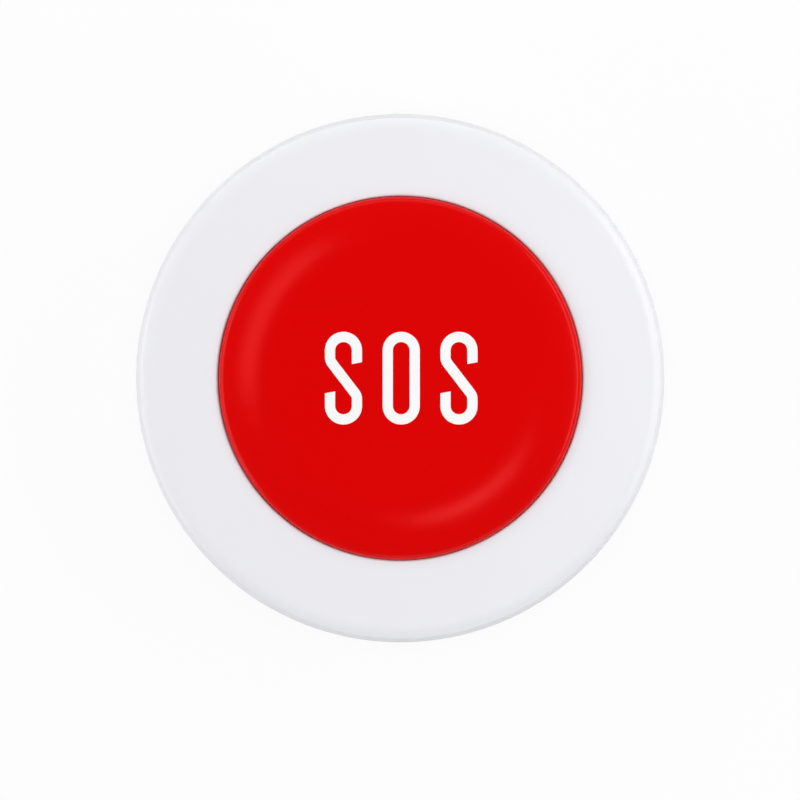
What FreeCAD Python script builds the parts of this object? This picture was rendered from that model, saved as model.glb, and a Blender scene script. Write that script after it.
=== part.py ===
import FreeCAD, Part
import math
import os
import re

import Sketcher

# Round wireless panic button, lying on its back: +Z points out of the red cap, +Y is up on the wall.
# The origin is the centre of the back, on the surface that the adhesive pads touch. Millimetres.

sizes = {
    # Front cover
    "case_radius": 30.0,        # back edge of the side wall, the widest place
    "wall_lean": 0.55,          # how much narrower the side wall is at its front edge
    "shoulder_width": 1.4,      # rounded shoulder between the side wall and the face
    "shoulder_radius": 2.5,
    "shoulder_tilt": 26,        # slope where the rounding ends, in degrees
    "face_wall": 1.8,
    "side_wall": 2.0,
    "foot_height": 1.2,         # the side wall ends this far above the surface behind
    "lip_wall": 1.6,            # side wall beside the rear cover
    "ledge_width": 0.6,         # step that the rear cover stops against
    "edge_break": 0.2,
    "opening_round": 0.45,
    "well_wall": 1.2,
    "well_depth": 3.8,          # from the face down to the deck
    "deck_wall": 1.2,
    "guide_wall": 1.2,
    "cover_rib_count": 6,
    "cover_rib_wall": 1.0,
    "cover_rib_drop": 2.8,
    # Red cap
    "ring_width": 9.35,         # back edge of the side wall to the opening for the cap
    "cap_gap": 0.1,
    "crown_width": 7.2,         # level middle of the cap to its side
    "crown_radius": 25.0,       # rounding from the level middle to the rim
    "rim_round": 0.85,          # rounding from the crown to the side
    "cap_wall": 2.0,
    "skirt_wall": 1.4,
    "press_travel": 0.8,
    "bottom_gap": 0.4,          # what stays open under the skirt when the cap is in
    "guide_gap": 0.3,           # what stays open above the guide tube when the cap is in
    "post_radius": 3.4,
    "running_fit": 0.05,
    "cap_rib_count": 6,
    "cap_rib_wall": 1.0,
    "cap_rib_depth": 1.0,
    # Hooks that hold the cap in
    "hook_count": 3,
    "hook_inset": 0.6,          # skirt to the outer face of the leg
    "hook_wall": 1.3,
    "hook_half_angle": 7,
    "hook_side_angle": 1.5,
    "hook_reach": 0.8,          # how far the barb passes under the deck
    "hook_gap": 0.3,
    "hook_slack": 1.0,          # room for the leg to bend while it is snapped in
    "barb_height": 1.2,
    "stop_gap": 0.1,
    # Return springs
    "spring_count": 3,
    "spring_inset": 4.6,        # skirt to the middle of the spring
    "spring_room": 3.4,         # deck to the underside of the cap
    "spring_radius": 1.9,       # to the middle of the wire
    "spring_wire": 0.22,        # radius of the wire
    "spring_turns": 4,
    "spring_play": 0.02,
    "seat_pin_play": 0.43,
    "seat_pin_gap": 0.4,        # what stays open between two pins when the cap is in
    # Screws through the two covers
    "screw_count": 3,           # of each kind
    "boss_radius": 2.6,
    "boss_bite": 0.1,           # how far a boss runs into the wall of the well
    "boss_gap": 0.05,
    "screw_radius": 1.0,
    "screw_head_radius": 1.9,
    "case_screw_length": 7.0,
    "case_head_height": 1.5,
    "cross_width": 0.5,
    "cross_span": 2.0,
    "cross_depth": 0.8,
    "thread_play": 0.02,
    "hole_play": 0.15,
    "head_play": 0.25,
    "pilot_spare": 0.8,
    # Rear cover
    "rear_gap": 0.3,            # wall plate to rear cover
    "rear_wall": 1.6,
    "rear_play": 0.15,
    "rim_height": 1.7,
    "rim_wall": 1.0,
    "rim_play": 0.5,
    "socket_wall": 0.8,
    "cell_opening_play": 0.4,
    "thumb_radius": 3.4,
    # Wall plate and its twist lock
    "plate_inset": 1.9,         # lip of the front cover to the edge of the plate
    "plate_wall": 2.0,
    "plate_chamfer": 0.5,
    "wall_hole_radius": 2.1,
    "wall_head_radius": 3.5,
    "wall_head_angle": 90,
    "wall_hole_spacing": 36.0,
    "lug_count": 3,
    "lug_inset": 7.2,           # edge of the plate to the inside of a lug
    "lug_wall": 1.2,
    "lug_half_angle": 6,
    "lug_reach": 1.5,
    "lug_cap_height": 1.3,
    "lug_lift": 0.3,            # play between the lug's flange and the rear cover
    "lug_gap": 0.3,
    "lug_play_angle": 1.5,
    "twist_angle": 15,
    # Adhesive pads
    "pad_length": 26.0,
    "pad_width": 10.0,
    "pad_wall": 1.0,
    "pad_recess": 0.6,
    "pad_inset": 12.0,          # edge of the plate to the middle of a pad
    "pad_play": 0.2,
    # Circuit board
    "board_wall": 1.0,
    "board_play": 1.5,
    "notch_play": 0.4,
    "parts_room": 2.6,          # board to the underside of the deck
    "board_post_inset": 7.0,    # middle of a case screw to the middle of a board screw
    "board_post_radius": 2.2,
    "board_screw_radius": 0.95,
    "board_screw_length": 4.0,
    "board_head_height": 1.3,
    # Push switch
    "switch_width": 6.0,
    "switch_height": 2.1,
    "switch_corner": 0.5,
    "switch_floor": 0.6,
    "switch_bore": 2.4,
    "switch_plate": 0.3,
    "plunger_radius": 1.7,
    "plunger_flange": 0.5,
    "plunger_flange_width": 0.45,
    "plunger_play": 0.08,
    "plunger_stand": 0.4,       # top of the plunger above the deck
    "lead_width": 0.7,
    "lead_wall": 0.2,
    "lead_rise": 0.9,
    "lead_reach": 0.6,
    "lead_foot": 0.9,
    "lead_offset": 2.25,
    # Coin cell, its holder and its contacts
    "cell_radius": 10.0,
    "cell_height": 3.2,
    "cell_play": 0.05,
    "cell_step": 0.2,
    "cell_crimp": 0.7,
    "cell_face_radius": 8.4,
    "cell_round": 0.3,
    "holder_play": 0.2,
    "holder_wall": 1.4,
    "holder_inset": 0.05,
    "holder_lip_count": 3,
    "holder_lip": 0.6,
    "holder_lip_height": 0.3,
    "holder_lip_half_angle": 12,
    "thumb_notch_depth": 1.6,
    "thumb_notch_reach": 0.15,
    "contact_wall": 0.25,
    "contact_width": 4.0,
    "contact_slot_play": 0.3,
    "contact_slot_reach": 0.5,  # how far its cut runs past the ring on both sides
    "contact_slot_floor": 0.3,  # bottom of the slot above the bottom of the cell
    "contact_foot": 2.6,
    "contact_touch": 0.02,
    "contact_end_lift": 0.6,    # lower end of the strip above the bottom of the cell
    "contact_bend_lift": 0.2,   # upper bend of the strip above the top of the cell
    "contact_bulge": 0.4,
    "leaf_room": 1.1,           # cell to the board
    "leaf_width": 2.6,
    "leaf_base_length": 6.0,
    "leaf_base_width": 5.0,
    "leaf_reach": 5.0,
    "leaf_tip": 1.4,
    # Parts on the board
    "chip_width": 5.0,
    "chip_height": 0.9,
    "chip_dimple": 0.4,
    "chip_dimple_depth": 0.1,
    "chip_left": 9.0,
    "chip_up": 1.5,
    "crystal_length": 3.2,
    "crystal_width": 2.5,
    "crystal_height": 0.7,
    "crystal_left": 9.5,
    "crystal_down": 3.4,
    "crystal_round": 0.5,
    "led_length": 3.2,
    "led_width": 1.6,
    "led_base": 0.5,
    "led_lens_length": 2.0,
    "led_lens": 0.6,
    "led_right": 7.5,
    "led_up": 5.0,
    "led_window": 1.6,
    "buffer_length": 7.3,
    "buffer_width": 4.3,
    "buffer_height": 1.9,
    "buffer_chamfer": 0.3,
    "buffer_right": 9.0,
    "buffer_down": 7.0,
    "small_length": 1.6,
    "small_width": 0.8,
    "capacitor_height": 0.8,
    "resistor_height": 0.45,
    # Antenna coil
    "antenna_gap": 0.65,        # wall of the well to the coil
    "antenna_radius": 1.5,
    "antenna_wire": 0.25,
    "antenna_lift": 0.9,
    "antenna_pitch": 0.95,
    "antenna_turns": 4,
}

doc = FreeCAD.newDocument("PanicButton")
sheet = doc.addObject("Spreadsheet::Sheet", "Sizes")
for row, (alias, number) in enumerate(sizes.items(), start=1):
    sheet.set(f"A{row}", alias)
    sheet.set(f"B{row}", str(number))
    sheet.setAlias(f"B{row}", alias)
doc.recompute()

# Sizes that follow from the ones above, as rules that the document works out

# Heights, from the back upwards
plate_back = "(pad_wall - pad_recess)"
plate_top = f"({plate_back} + plate_wall)"
rear_height = f"({plate_top} + rear_gap)"
rear_top = f"({rear_height} + rear_wall)"
socket_top = f"({rear_top} + rim_height)"
boss_base = f"({socket_top} + boss_gap)"
flange_base = f"({rear_top} + lug_lift)"
holder_base = f"({rear_height} + holder_inset)"
cell_base = f"({holder_base} + holder_lip_height + cell_play)"
cell_top = f"({cell_base} + cell_height)"
board_height = f"({cell_top} + leaf_room)"
board_top = f"({board_height} + board_wall)"
switch_top = f"({board_top} + switch_height)"
deck_height = f"({board_top} + parts_room)"
deck_top = f"({deck_height} + deck_wall)"
plunger_top = f"({deck_top} + plunger_stand)"
barb_top = f"({deck_height} - stop_gap)"
barb_base = f"({barb_top} - barb_height)"
cap_underside = f"({deck_top} + spring_room)"
crown_height = f"({cap_underside} + cap_wall)"
guide_height = f"({cap_underside} - press_travel - guide_gap)"
skirt_base = f"({deck_top} + press_travel + bottom_gap)"
face_height = f"({deck_top} + well_depth)"
face_underside = f"({face_height} - face_wall)"
seat_pin_height = "((spring_room - press_travel - seat_pin_gap) / 2)"

# Radii, from the side wall inwards
edge_radius = "(case_radius - wall_lean)"
shoulder_start = f"({edge_radius} - shoulder_width)"
shoulder_end = f"({shoulder_start} + shoulder_radius * sin(shoulder_tilt))"
shoulder_end_height = f"({face_height} - shoulder_radius * (1 - cos(shoulder_tilt)))"
edge_height = f"({shoulder_end_height} - ({edge_radius} - {shoulder_end}) * tan(shoulder_tilt))"
nest_radius = "(case_radius - lip_wall)"
ledge_radius = f"({nest_radius} - ledge_width)"
plate_radius = f"({nest_radius} - plate_inset)"
board_radius = f"({ledge_radius} - board_play)"
opening_radius = "(case_radius - ring_width)"
cap_radius = f"({opening_radius} - cap_gap)"
crown_flat = f"({cap_radius} - crown_width)"
well_outer = f"({opening_radius} + well_wall)"
boss_circle = f"({well_outer} + boss_radius - boss_bite)"
board_post_circle = f"({boss_circle} - board_post_inset)"
antenna_circle = f"({well_outer} + antenna_gap + antenna_radius + antenna_wire)"
rim_run = "(crown_width - rim_round)"
rim_rise = f"sqrt((crown_radius - rim_round) ^ 2 - {rim_run} ^ 2)"
rim_share = "crown_radius / (crown_radius - rim_round)"
rim_side_height = f"({crown_height} - crown_radius + {rim_rise})"
rim_top_radius = f"({crown_flat} + {rim_run} * {rim_share})"
rim_top_height = f"({crown_height} - crown_radius + {rim_rise} * {rim_share})"
skirt_inner = f"({cap_radius} - skirt_wall)"
spring_circle = f"({skirt_inner} - spring_inset)"
hook_outer = f"({skirt_inner} - hook_inset)"
hook_radius = f"({hook_outer} - hook_wall)"
guide_bore = "(post_radius + running_fit)"
guide_outer = f"({guide_bore} + guide_wall)"
seat_pin_radius = "(spring_radius - spring_wire - seat_pin_play)"
socket_radius = "(screw_head_radius + head_play + socket_wall)"
lug_radius = f"({plate_radius} - lug_inset)"
lug_outer = f"({lug_radius} + lug_wall)"
pad_offset = f"({plate_radius} - pad_inset)"
flange_outer = f"({lug_outer} + lug_reach)"
holder_inner = "(cell_radius + holder_play)"
holder_outer = f"({holder_inner} + holder_wall)"
cell_opening = f"({holder_outer} + cell_opening_play)"

# Directions of what repeats round the axis, in degrees from +X
hook_direction = 0
spring_direction = 60
cover_rib_direction = 0
cap_rib_direction = 30
screw_direction = 30
lug_direction = 90
thumb_direction = 90
antenna_direction = 90

parts = []
full_turn = 360
closeness = 0.001               # two places nearer than this are the same


def spelled(rule):
    """Write the sheet's name before each size in a rule."""
    return re.sub(r"\b[a-z]+(?:_[a-z]+)+\b", lambda match: "Sizes." + match.group(0), str(rule))


def value(rule):
    """The number that a rule gives now."""
    return float(sheet.evalExpression(spelled(rule)))


def bind(thing, prop, rule):
    """Tie a property to the sizes by a rule."""
    thing.setExpression(prop, spelled(rule))


def new_body(name):
    """A sub-part of its own, whose label names its file."""
    body = doc.addObject("PartDesign::Body", name)
    body.Label = name
    parts.append(body)
    return body


def origin_feature(body, role):
    """One of a body's own planes or axes."""
    return next(item for item in body.Origin.OriginFeatures if item.Role == role)


def new_sketch(body, name, plane, offset="0"):
    """A sketch on one of the body's planes, moved along the plane's normal."""
    sketch = body.newObject("Sketcher::SketchObject", name)
    sketch.AttachmentSupport = [(origin_feature(body, plane), "")]
    sketch.MapMode = "FlatFace"
    if offset != "0":
        bind(sketch, ".AttachmentOffset.Base.z", offset)
    return sketch


def hold_point(sketch, edge, end, across, along):
    """Fix one end of an edge by its two coordinates."""
    for kind, axis, rule in (("DistanceX", -2, across), ("DistanceY", -1, along)):
        if rule == "0":
            sketch.addConstraint(Sketcher.Constraint("PointOnObject", edge, end, axis))
        else:
            held = sketch.addConstraint(Sketcher.Constraint(kind, -1, 1, edge, end, value(rule)))
            bind(sketch, f"Constraints[{held}]", rule)


def add_arc(sketch, start, end, radius_rule):
    """An arc that bulges to the right of the way from start to end."""
    radius = value(radius_rule)
    middle = (start + end) * 0.5
    chord = end - start
    sideways = FreeCAD.Vector(-chord.y, chord.x, 0).normalize()
    centre = middle + sideways * math.sqrt(radius ** 2 - chord.Length ** 2 / 4)
    first = math.atan2(start.y - centre.y, start.x - centre.x)
    last = math.atan2(end.y - centre.y, end.x - centre.x)
    circle = Part.Circle(centre, FreeCAD.Vector(0, 0, 1), radius)
    edge = sketch.addGeometry(Part.ArcOfCircle(circle, first, last), False)
    held = sketch.addConstraint(Sketcher.Constraint("Radius", edge, radius))
    bind(sketch, f"Constraints[{held}]", radius_rule)
    return edge


def draw_outline(sketch, corners):
    """A closed outline run counterclockwise; a third entry at a corner makes an arc of what follows."""
    places = [FreeCAD.Vector(value(corner[0]), value(corner[1]), 0) for corner in corners]
    edges = []
    for index, corner in enumerate(corners):
        start = places[index]
        end = places[(index + 1) % len(places)]
        if len(corner) == 3:
            edges.append(add_arc(sketch, start, end, corner[2]))
        else:
            edges.append(sketch.addGeometry(Part.LineSegment(start, end), False))
    for index, corner in enumerate(corners):
        following = edges[(index + 1) % len(edges)]
        sketch.addConstraint(Sketcher.Constraint("Coincident", edges[index], 2, following, 1))
        hold_point(sketch, edges[index], 1, corner[0], corner[1])


def draw_circle(sketch, radius, across="0", along="0"):
    """A circle held by its radius and centre."""
    centre = FreeCAD.Vector(value(across), value(along), 0)
    edge = sketch.addGeometry(Part.Circle(centre, FreeCAD.Vector(0, 0, 1), value(radius)), False)
    held = sketch.addConstraint(Sketcher.Constraint("Radius", edge, value(radius)))
    bind(sketch, f"Constraints[{held}]", radius)
    hold_point(sketch, edge, 3, across, along)


def draw_box(sketch, length, width, across="0", along="0"):
    """A rectangle round a centre."""
    left = f"({across}) - ({length}) / 2"
    right = f"({across}) + ({length}) / 2"
    low = f"({along}) - ({width}) / 2"
    high = f"({along}) + ({width}) / 2"
    draw_outline(sketch, [(left, low), (right, low), (right, high), (left, high)])


def draw_sector(sketch, inner, outer, first, last):
    """A piece of a ring between two directions, in degrees."""
    centre = FreeCAD.Vector(0, 0, 0)
    up = FreeCAD.Vector(0, 0, 1)
    turns = [math.radians(value(first)), math.radians(value(last))]
    arcs = []
    for rule in (inner, outer):
        circle = Part.Circle(centre, up, value(rule))
        arcs.append(sketch.addGeometry(Part.ArcOfCircle(circle, turns[0], turns[1]), False))
        sketch.addConstraint(Sketcher.Constraint("Coincident", arcs[-1], 3, -1, 1))
        held = sketch.addConstraint(Sketcher.Constraint("Radius", arcs[-1], value(rule)))
        bind(sketch, f"Constraints[{held}]", rule)
    for end, (rule, turn) in enumerate(zip((first, last), turns), start=1):
        near = FreeCAD.Vector(value(inner) * math.cos(turn), value(inner) * math.sin(turn), 0)
        far = FreeCAD.Vector(value(outer) * math.cos(turn), value(outer) * math.sin(turn), 0)
        side = sketch.addGeometry(Part.LineSegment(near, far), False)
        sketch.addConstraint(Sketcher.Constraint("Coincident", side, 1, arcs[0], end))
        sketch.addConstraint(Sketcher.Constraint("Coincident", side, 2, arcs[1], end))
        sketch.addConstraint(Sketcher.Constraint("PointOnObject", -1, 1, side))
        held = sketch.addConstraint(Sketcher.Constraint("Angle", side, turn))
        bind(sketch, f"Constraints[{held}]", f"({rule}) * 1 deg")


def polar_place(circle, direction):
    """The two coordinates of a point on a circle, as rules."""
    return f"{circle} * cos({direction})", f"{circle} * sin({direction})"


def grow(body, sketch, length, reverse=False, both_ways=False):
    """Pad a sketch."""
    pad = body.newObject("PartDesign::Pad", sketch.Name + "_pad")
    pad.Profile = sketch
    pad.Reversed = reverse
    pad.Midplane = both_ways
    bind(pad, "Length", length)
    return pad


def cut(body, sketch, depth, reverse=False, both_ways=False):
    """Pocket a sketch; the cut goes against the plane's normal unless it is reversed."""
    before = tip_volume(body)
    pocket = body.newObject("PartDesign::Pocket", sketch.Name + "_pocket")
    pocket.Profile = sketch
    pocket.Reversed = reverse
    pocket.Midplane = both_ways
    bind(pocket, "Length", depth)
    doc.recompute()
    if pocket.Shape.Volume >= before:
        raise ValueError(f"{pocket.Name} cuts nothing")
    return pocket


def tip_volume(body):
    """Volume of the body so far."""
    doc.recompute()
    return body.Shape.Volume


def turn_round(body, sketch):
    """Revolve a profile about the body's axis."""
    turned = body.newObject("PartDesign::Revolution", sketch.Name + "_turned")
    turned.Profile = sketch
    turned.ReferenceAxis = (sketch, ["V_Axis"])
    turned.Angle = full_turn
    return turned


def repeat_round(body, features, count):
    """Copy features evenly round the body's axis."""
    pattern = body.newObject("PartDesign::PolarPattern", features[0].Name + "_ring")
    pattern.Originals = features
    pattern.Axis = (origin_feature(body, "Z_Axis"), [""])
    pattern.Angle = full_turn
    bind(pattern, "Occurrences", count)
    body.Tip = pattern
    return pattern


def ring_edges(shape, radius, height):
    """Names of the full circles round the axis at a radius and height."""
    found = []
    for number, edge in enumerate(shape.Edges, start=1):
        curve = edge.Curve
        if not isinstance(curve, Part.Circle):
            continue
        centred = math.hypot(curve.Center.x, curve.Center.y) < closeness
        if centred and abs(curve.Radius - radius) < closeness and abs(curve.Center.z - height) < closeness:
            found.append(f"Edge{number}")
    if not found:
        raise ValueError(f"no edge at radius {radius} and height {height}")
    return found


def soften(body, kind, size, rings):
    """Fillet or chamfer the circles given by radius and height."""
    doc.recompute()
    base = body.Tip
    names = []
    for radius, height in rings:
        names += ring_edges(base.Shape, value(radius), value(height))
    feature = body.newObject(f"PartDesign::{kind}", f"{body.Name}_{kind.lower()}")
    feature.Base = (base, names)
    bind(feature, "Radius" if kind == "Fillet" else "Size", size)
    return feature


def place(thing, across="0", along="0", up="0"):
    """Put a sub-part at its place by rules."""
    bind(thing, ".Placement.Base.x", across)
    bind(thing, ".Placement.Base.y", along)
    bind(thing, ".Placement.Base.z", up)


# Front cover: one moulding with face, shoulder, side wall, well, deck and guide tube
def make_front_cover():
    body = new_body("front_cover")
    section = new_sketch(body, "cover_section", "XZ_Plane")
    draw_outline(section, [
        (guide_bore, deck_height),
        (well_outer, deck_height),
        (well_outer, face_underside),
        (f"{edge_radius} - side_wall", face_underside),
        (ledge_radius, rear_top),
        (nest_radius, rear_top),
        (nest_radius, "foot_height"),
        ("case_radius", "foot_height"),
        (edge_radius, edge_height),
        (shoulder_end, shoulder_end_height, "shoulder_radius"),
        (shoulder_start, face_height),
        (f"{opening_radius} + opening_round", face_height, "opening_round"),
        (opening_radius, f"{face_height} - opening_round"),
        (opening_radius, deck_top),
        (guide_outer, deck_top),
        (guide_outer, guide_height),
        (guide_bore, guide_height),
    ])
    turn_round(body, section)
    soften(body, "Chamfer", "edge_break", [(edge_radius, edge_height), ("case_radius", "foot_height")])

    boss = new_sketch(body, "screw_boss", "XY_Plane", boss_base)
    draw_circle(boss, "boss_radius", *polar_place(boss_circle, screw_direction))
    boss_pad = grow(body, boss, f"{face_underside} - {boss_base} + face_wall / 2")
    repeat_round(body, [boss_pad], "screw_count")
    pilot = new_sketch(body, "screw_pilot", "XY_Plane", boss_base)
    draw_circle(pilot, "screw_radius + thread_play", *polar_place(boss_circle, screw_direction))
    pilot_depth = f"case_screw_length - ({boss_base} - {rear_top}) + pilot_spare"
    repeat_round(body, [cut(body, pilot, pilot_depth, reverse=True)], "screw_count")

    rib = new_sketch(body, "cover_rib", "XY_Plane", f"{face_underside} - cover_rib_drop")
    rib_inner = f"({well_outer} - well_wall / 2)"
    rib_outer = f"({edge_radius} - side_wall / 2)"
    draw_box(rib, f"{rib_outer} - {rib_inner}", "cover_rib_wall", f"({rib_outer} + {rib_inner}) / 2")
    rib_pad = grow(body, rib, "cover_rib_drop + face_wall / 2")
    repeat_round(body, [rib_pad], "cover_rib_count")

    seat = new_sketch(body, "deck_seat_pin", "XY_Plane", f"{deck_top} - deck_wall / 2")
    draw_circle(seat, seat_pin_radius, *polar_place(spring_circle, spring_direction))
    seat_pad = grow(body, seat, f"{seat_pin_height} + deck_wall / 2")
    repeat_round(body, [seat_pad], "spring_count")

    slot = new_sketch(body, "hook_slot", "XY_Plane", deck_top)
    slot_half_angle = "(hook_half_angle + hook_side_angle)"
    draw_sector(slot, f"{hook_radius} - hook_slack", f"{hook_outer} + hook_gap",
                f"{hook_direction} - {slot_half_angle}", f"{hook_direction} + {slot_half_angle}")
    repeat_round(body, [cut(body, slot, "deck_wall")], "hook_count")

    window = new_sketch(body, "lamp_window", "XY_Plane", deck_top)
    draw_circle(window, "led_window", "led_right", "led_up")
    cut(body, window, "deck_wall")
    return body


# Push button: crowned cap with a skirt, a post on the switch, spring pins and snap hooks
def make_push_button():
    body = new_body("push_button")
    section = new_sketch(body, "cap_section", "XZ_Plane")
    draw_outline(section, [
        ("0", plunger_top),
        ("post_radius", plunger_top),
        ("post_radius", cap_underside),
        (skirt_inner, cap_underside),
        (skirt_inner, skirt_base),
        (cap_radius, skirt_base),
        (cap_radius, rim_side_height, "rim_round"),
        (rim_top_radius, rim_top_height, "crown_radius"),
        (crown_flat, crown_height),
        ("0", crown_height),
    ])
    turn_round(body, section)
    soften(body, "Chamfer", "edge_break", [("post_radius", plunger_top)])

    pin = new_sketch(body, "cap_seat_pin", "XY_Plane", f"{cap_underside} - {seat_pin_height}")
    draw_circle(pin, seat_pin_radius, *polar_place(spring_circle, spring_direction))
    repeat_round(body, [grow(body, pin, f"{seat_pin_height} + cap_wall / 2")], "spring_count")

    first = f"{hook_direction} - hook_half_angle"
    last = f"{hook_direction} + hook_half_angle"
    leg = new_sketch(body, "hook_leg", "XY_Plane", barb_base)
    draw_sector(leg, hook_radius, hook_outer, first, last)
    leg_pad = grow(body, leg, f"{cap_underside} - {barb_base} + cap_wall / 4")
    barb = new_sketch(body, "hook_barb", "XY_Plane", barb_base)
    draw_sector(barb, hook_radius, f"{hook_outer} + hook_gap + hook_reach", first, last)
    barb_pad = grow(body, barb, "barb_height")
    repeat_round(body, [leg_pad, barb_pad], "hook_count")

    rib = new_sketch(body, "cap_rib", "XY_Plane", f"{cap_underside} - cap_rib_depth")
    inner = f"({guide_outer} + cap_rib_wall)"
    outer = f"({cap_radius} - skirt_wall / 2)"
    middle = f"({inner} + {outer}) / 2"
    rib_corners = []
    for along, across in ((inner, "-"), (outer, "-"), (outer, "+"), (inner, "+")):
        turned_x = f"{along} * cos({cap_rib_direction}) {'+' if across == '-' else '-'} " \
                   f"cap_rib_wall / 2 * sin({cap_rib_direction})"
        turned_y = f"{along} * sin({cap_rib_direction}) {across} cap_rib_wall / 2 * cos({cap_rib_direction})"
        rib_corners.append((turned_x, turned_y))
    draw_outline(rib, rib_corners)
    repeat_round(body, [grow(body, rib, "cap_rib_depth + cap_wall / 4")], "cap_rib_count")
    return body


# Rear cover: plate with a rim, screw sockets, board posts, cell opening and twist-lock slots
def make_rear_cover():
    body = new_body("rear_cover")
    plate = new_sketch(body, "rear_plate", "XY_Plane", rear_height)
    draw_circle(plate, f"{nest_radius} - rear_play")
    grow(body, plate, "rear_wall")

    rim = new_sketch(body, "rear_rim", "XY_Plane", f"{rear_top} - rear_wall / 2")
    rim_outer = f"({ledge_radius} - rim_play)"
    draw_circle(rim, rim_outer)
    draw_circle(rim, f"{rim_outer} - rim_wall")
    grow(body, rim, "rear_wall / 2 + rim_height")

    socket = new_sketch(body, "screw_socket", "XY_Plane", f"{rear_top} - rear_wall / 2")
    draw_circle(socket, socket_radius, *polar_place(boss_circle, screw_direction))
    repeat_round(body, [grow(body, socket, "rear_wall / 2 + rim_height")], "screw_count")
    post = new_sketch(body, "board_post", "XY_Plane", f"{rear_top} - rear_wall / 2")
    draw_circle(post, "board_post_radius", *polar_place(board_post_circle, screw_direction))
    repeat_round(body, [grow(body, post, f"{board_height} - {rear_top} + rear_wall / 2")], "screw_count")

    head = new_sketch(body, "screw_counterbore", "XY_Plane", rear_height)
    draw_circle(head, "screw_head_radius + head_play", *polar_place(boss_circle, screw_direction))
    repeat_round(body, [cut(body, head, "rear_wall", reverse=True)], "screw_count")
    passage = new_sketch(body, "screw_passage", "XY_Plane", rear_height)
    draw_circle(passage, "screw_radius + hole_play", *polar_place(boss_circle, screw_direction))
    repeat_round(body, [cut(body, passage, "rear_wall + rim_height", reverse=True)], "screw_count")
    pilot = new_sketch(body, "post_pilot", "XY_Plane", board_height)
    draw_circle(pilot, "board_screw_radius + thread_play", *polar_place(board_post_circle, screw_direction))
    repeat_round(body, [cut(body, pilot, f"{board_height} - {rear_top}")], "screw_count")

    opening = new_sketch(body, "cell_window", "XY_Plane", rear_height)
    draw_circle(opening, cell_opening)
    cut(body, opening, "rear_wall", reverse=True)
    thumb = new_sketch(body, "thumb_notch", "XY_Plane", rear_height)
    draw_circle(thumb, "thumb_radius", *polar_place(cell_opening, thumb_direction))
    cut(body, thumb, "rear_wall", reverse=True)

    locked_side = f"{lug_direction} + lug_half_angle + lug_play_angle"
    free_start = f"{lug_direction} - twist_angle - lug_half_angle - lug_play_angle"
    free_end = f"{lug_direction} - twist_angle + lug_half_angle + lug_play_angle"
    track = new_sketch(body, "lock_track", "XY_Plane", rear_height)
    draw_sector(track, f"{lug_radius} - lug_gap", f"{lug_outer} + lug_gap", free_start, locked_side)
    track_cut = cut(body, track, "rear_wall", reverse=True)
    repeat_round(body, [track_cut], "lug_count")
    entry = new_sketch(body, "lock_entry", "XY_Plane", rear_height)
    draw_sector(entry, f"{lug_radius} - lug_gap", f"{flange_outer} + lug_gap", free_start, free_end)
    entry_cut = cut(body, entry, "rear_wall", reverse=True)
    repeat_round(body, [entry_cut], "lug_count")
    return body


# Wall plate: disc with countersunk screw holes, pad recesses and three hooked lugs
def make_wall_plate():
    body = new_body("wall_plate")
    disc = new_sketch(body, "plate_disc", "XY_Plane", plate_back)
    draw_circle(disc, plate_radius)
    grow(body, disc, "plate_wall")
    soften(body, "Chamfer", "plate_chamfer", [(plate_radius, plate_top)])

    first = f"{lug_direction} - lug_half_angle"
    last = f"{lug_direction} + lug_half_angle"
    stem = new_sketch(body, "lug_stem", "XY_Plane", f"{plate_top} - plate_wall / 2")
    draw_sector(stem, lug_radius, lug_outer, first, last)
    stem_pad = grow(body, stem, f"{flange_base} + lug_cap_height - {plate_top} + plate_wall / 2")
    flange = new_sketch(body, "lug_flange", "XY_Plane", flange_base)
    draw_sector(flange, lug_radius, flange_outer, first, last)
    flange_pad = grow(body, flange, "lug_cap_height")
    repeat_round(body, [stem_pad, flange_pad], "lug_count")

    recess = new_sketch(body, "pad_recesses", "XY_Plane", plate_back)
    for side in ("", "-"):
        draw_box(recess, "pad_length + pad_play", "pad_width + pad_play", "0", f"{side}{pad_offset}")
    cut(body, recess, "pad_recess", reverse=True)

    centres = new_sketch(body, "wall_holes", "XY_Plane", plate_top)
    for side in ("", "-"):
        draw_circle(centres, "wall_hole_radius", f"{side}wall_hole_spacing / 2")
    before = tip_volume(body)
    hole = body.newObject("PartDesign::Hole", "wall_screw_holes")
    hole.Profile = centres
    doc.recompute()
    hole.Threaded = False
    bind(hole, "Diameter", "2 * wall_hole_radius")
    hole.DepthType = "ThroughAll"
    hole.HoleCutType = "Countersink"
    bind(hole, "HoleCutCountersinkAngle", "wall_head_angle")
    bind(hole, "HoleCutDiameter", "2 * wall_head_radius")
    doc.recompute()
    if hole.Shape.Volume >= before:
        raise ValueError("the wall plate's screw holes cut nothing")
    return body


# Foam pads in the plate's recesses
def make_adhesive_pads():
    body = new_body("adhesive_pads")
    outline = new_sketch(body, "pad_outlines", "XY_Plane")
    for side in ("", "-"):
        draw_box(outline, "pad_length", "pad_width", "0", f"{side}{pad_offset}")
    grow(body, outline, "pad_wall")
    return body


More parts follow.
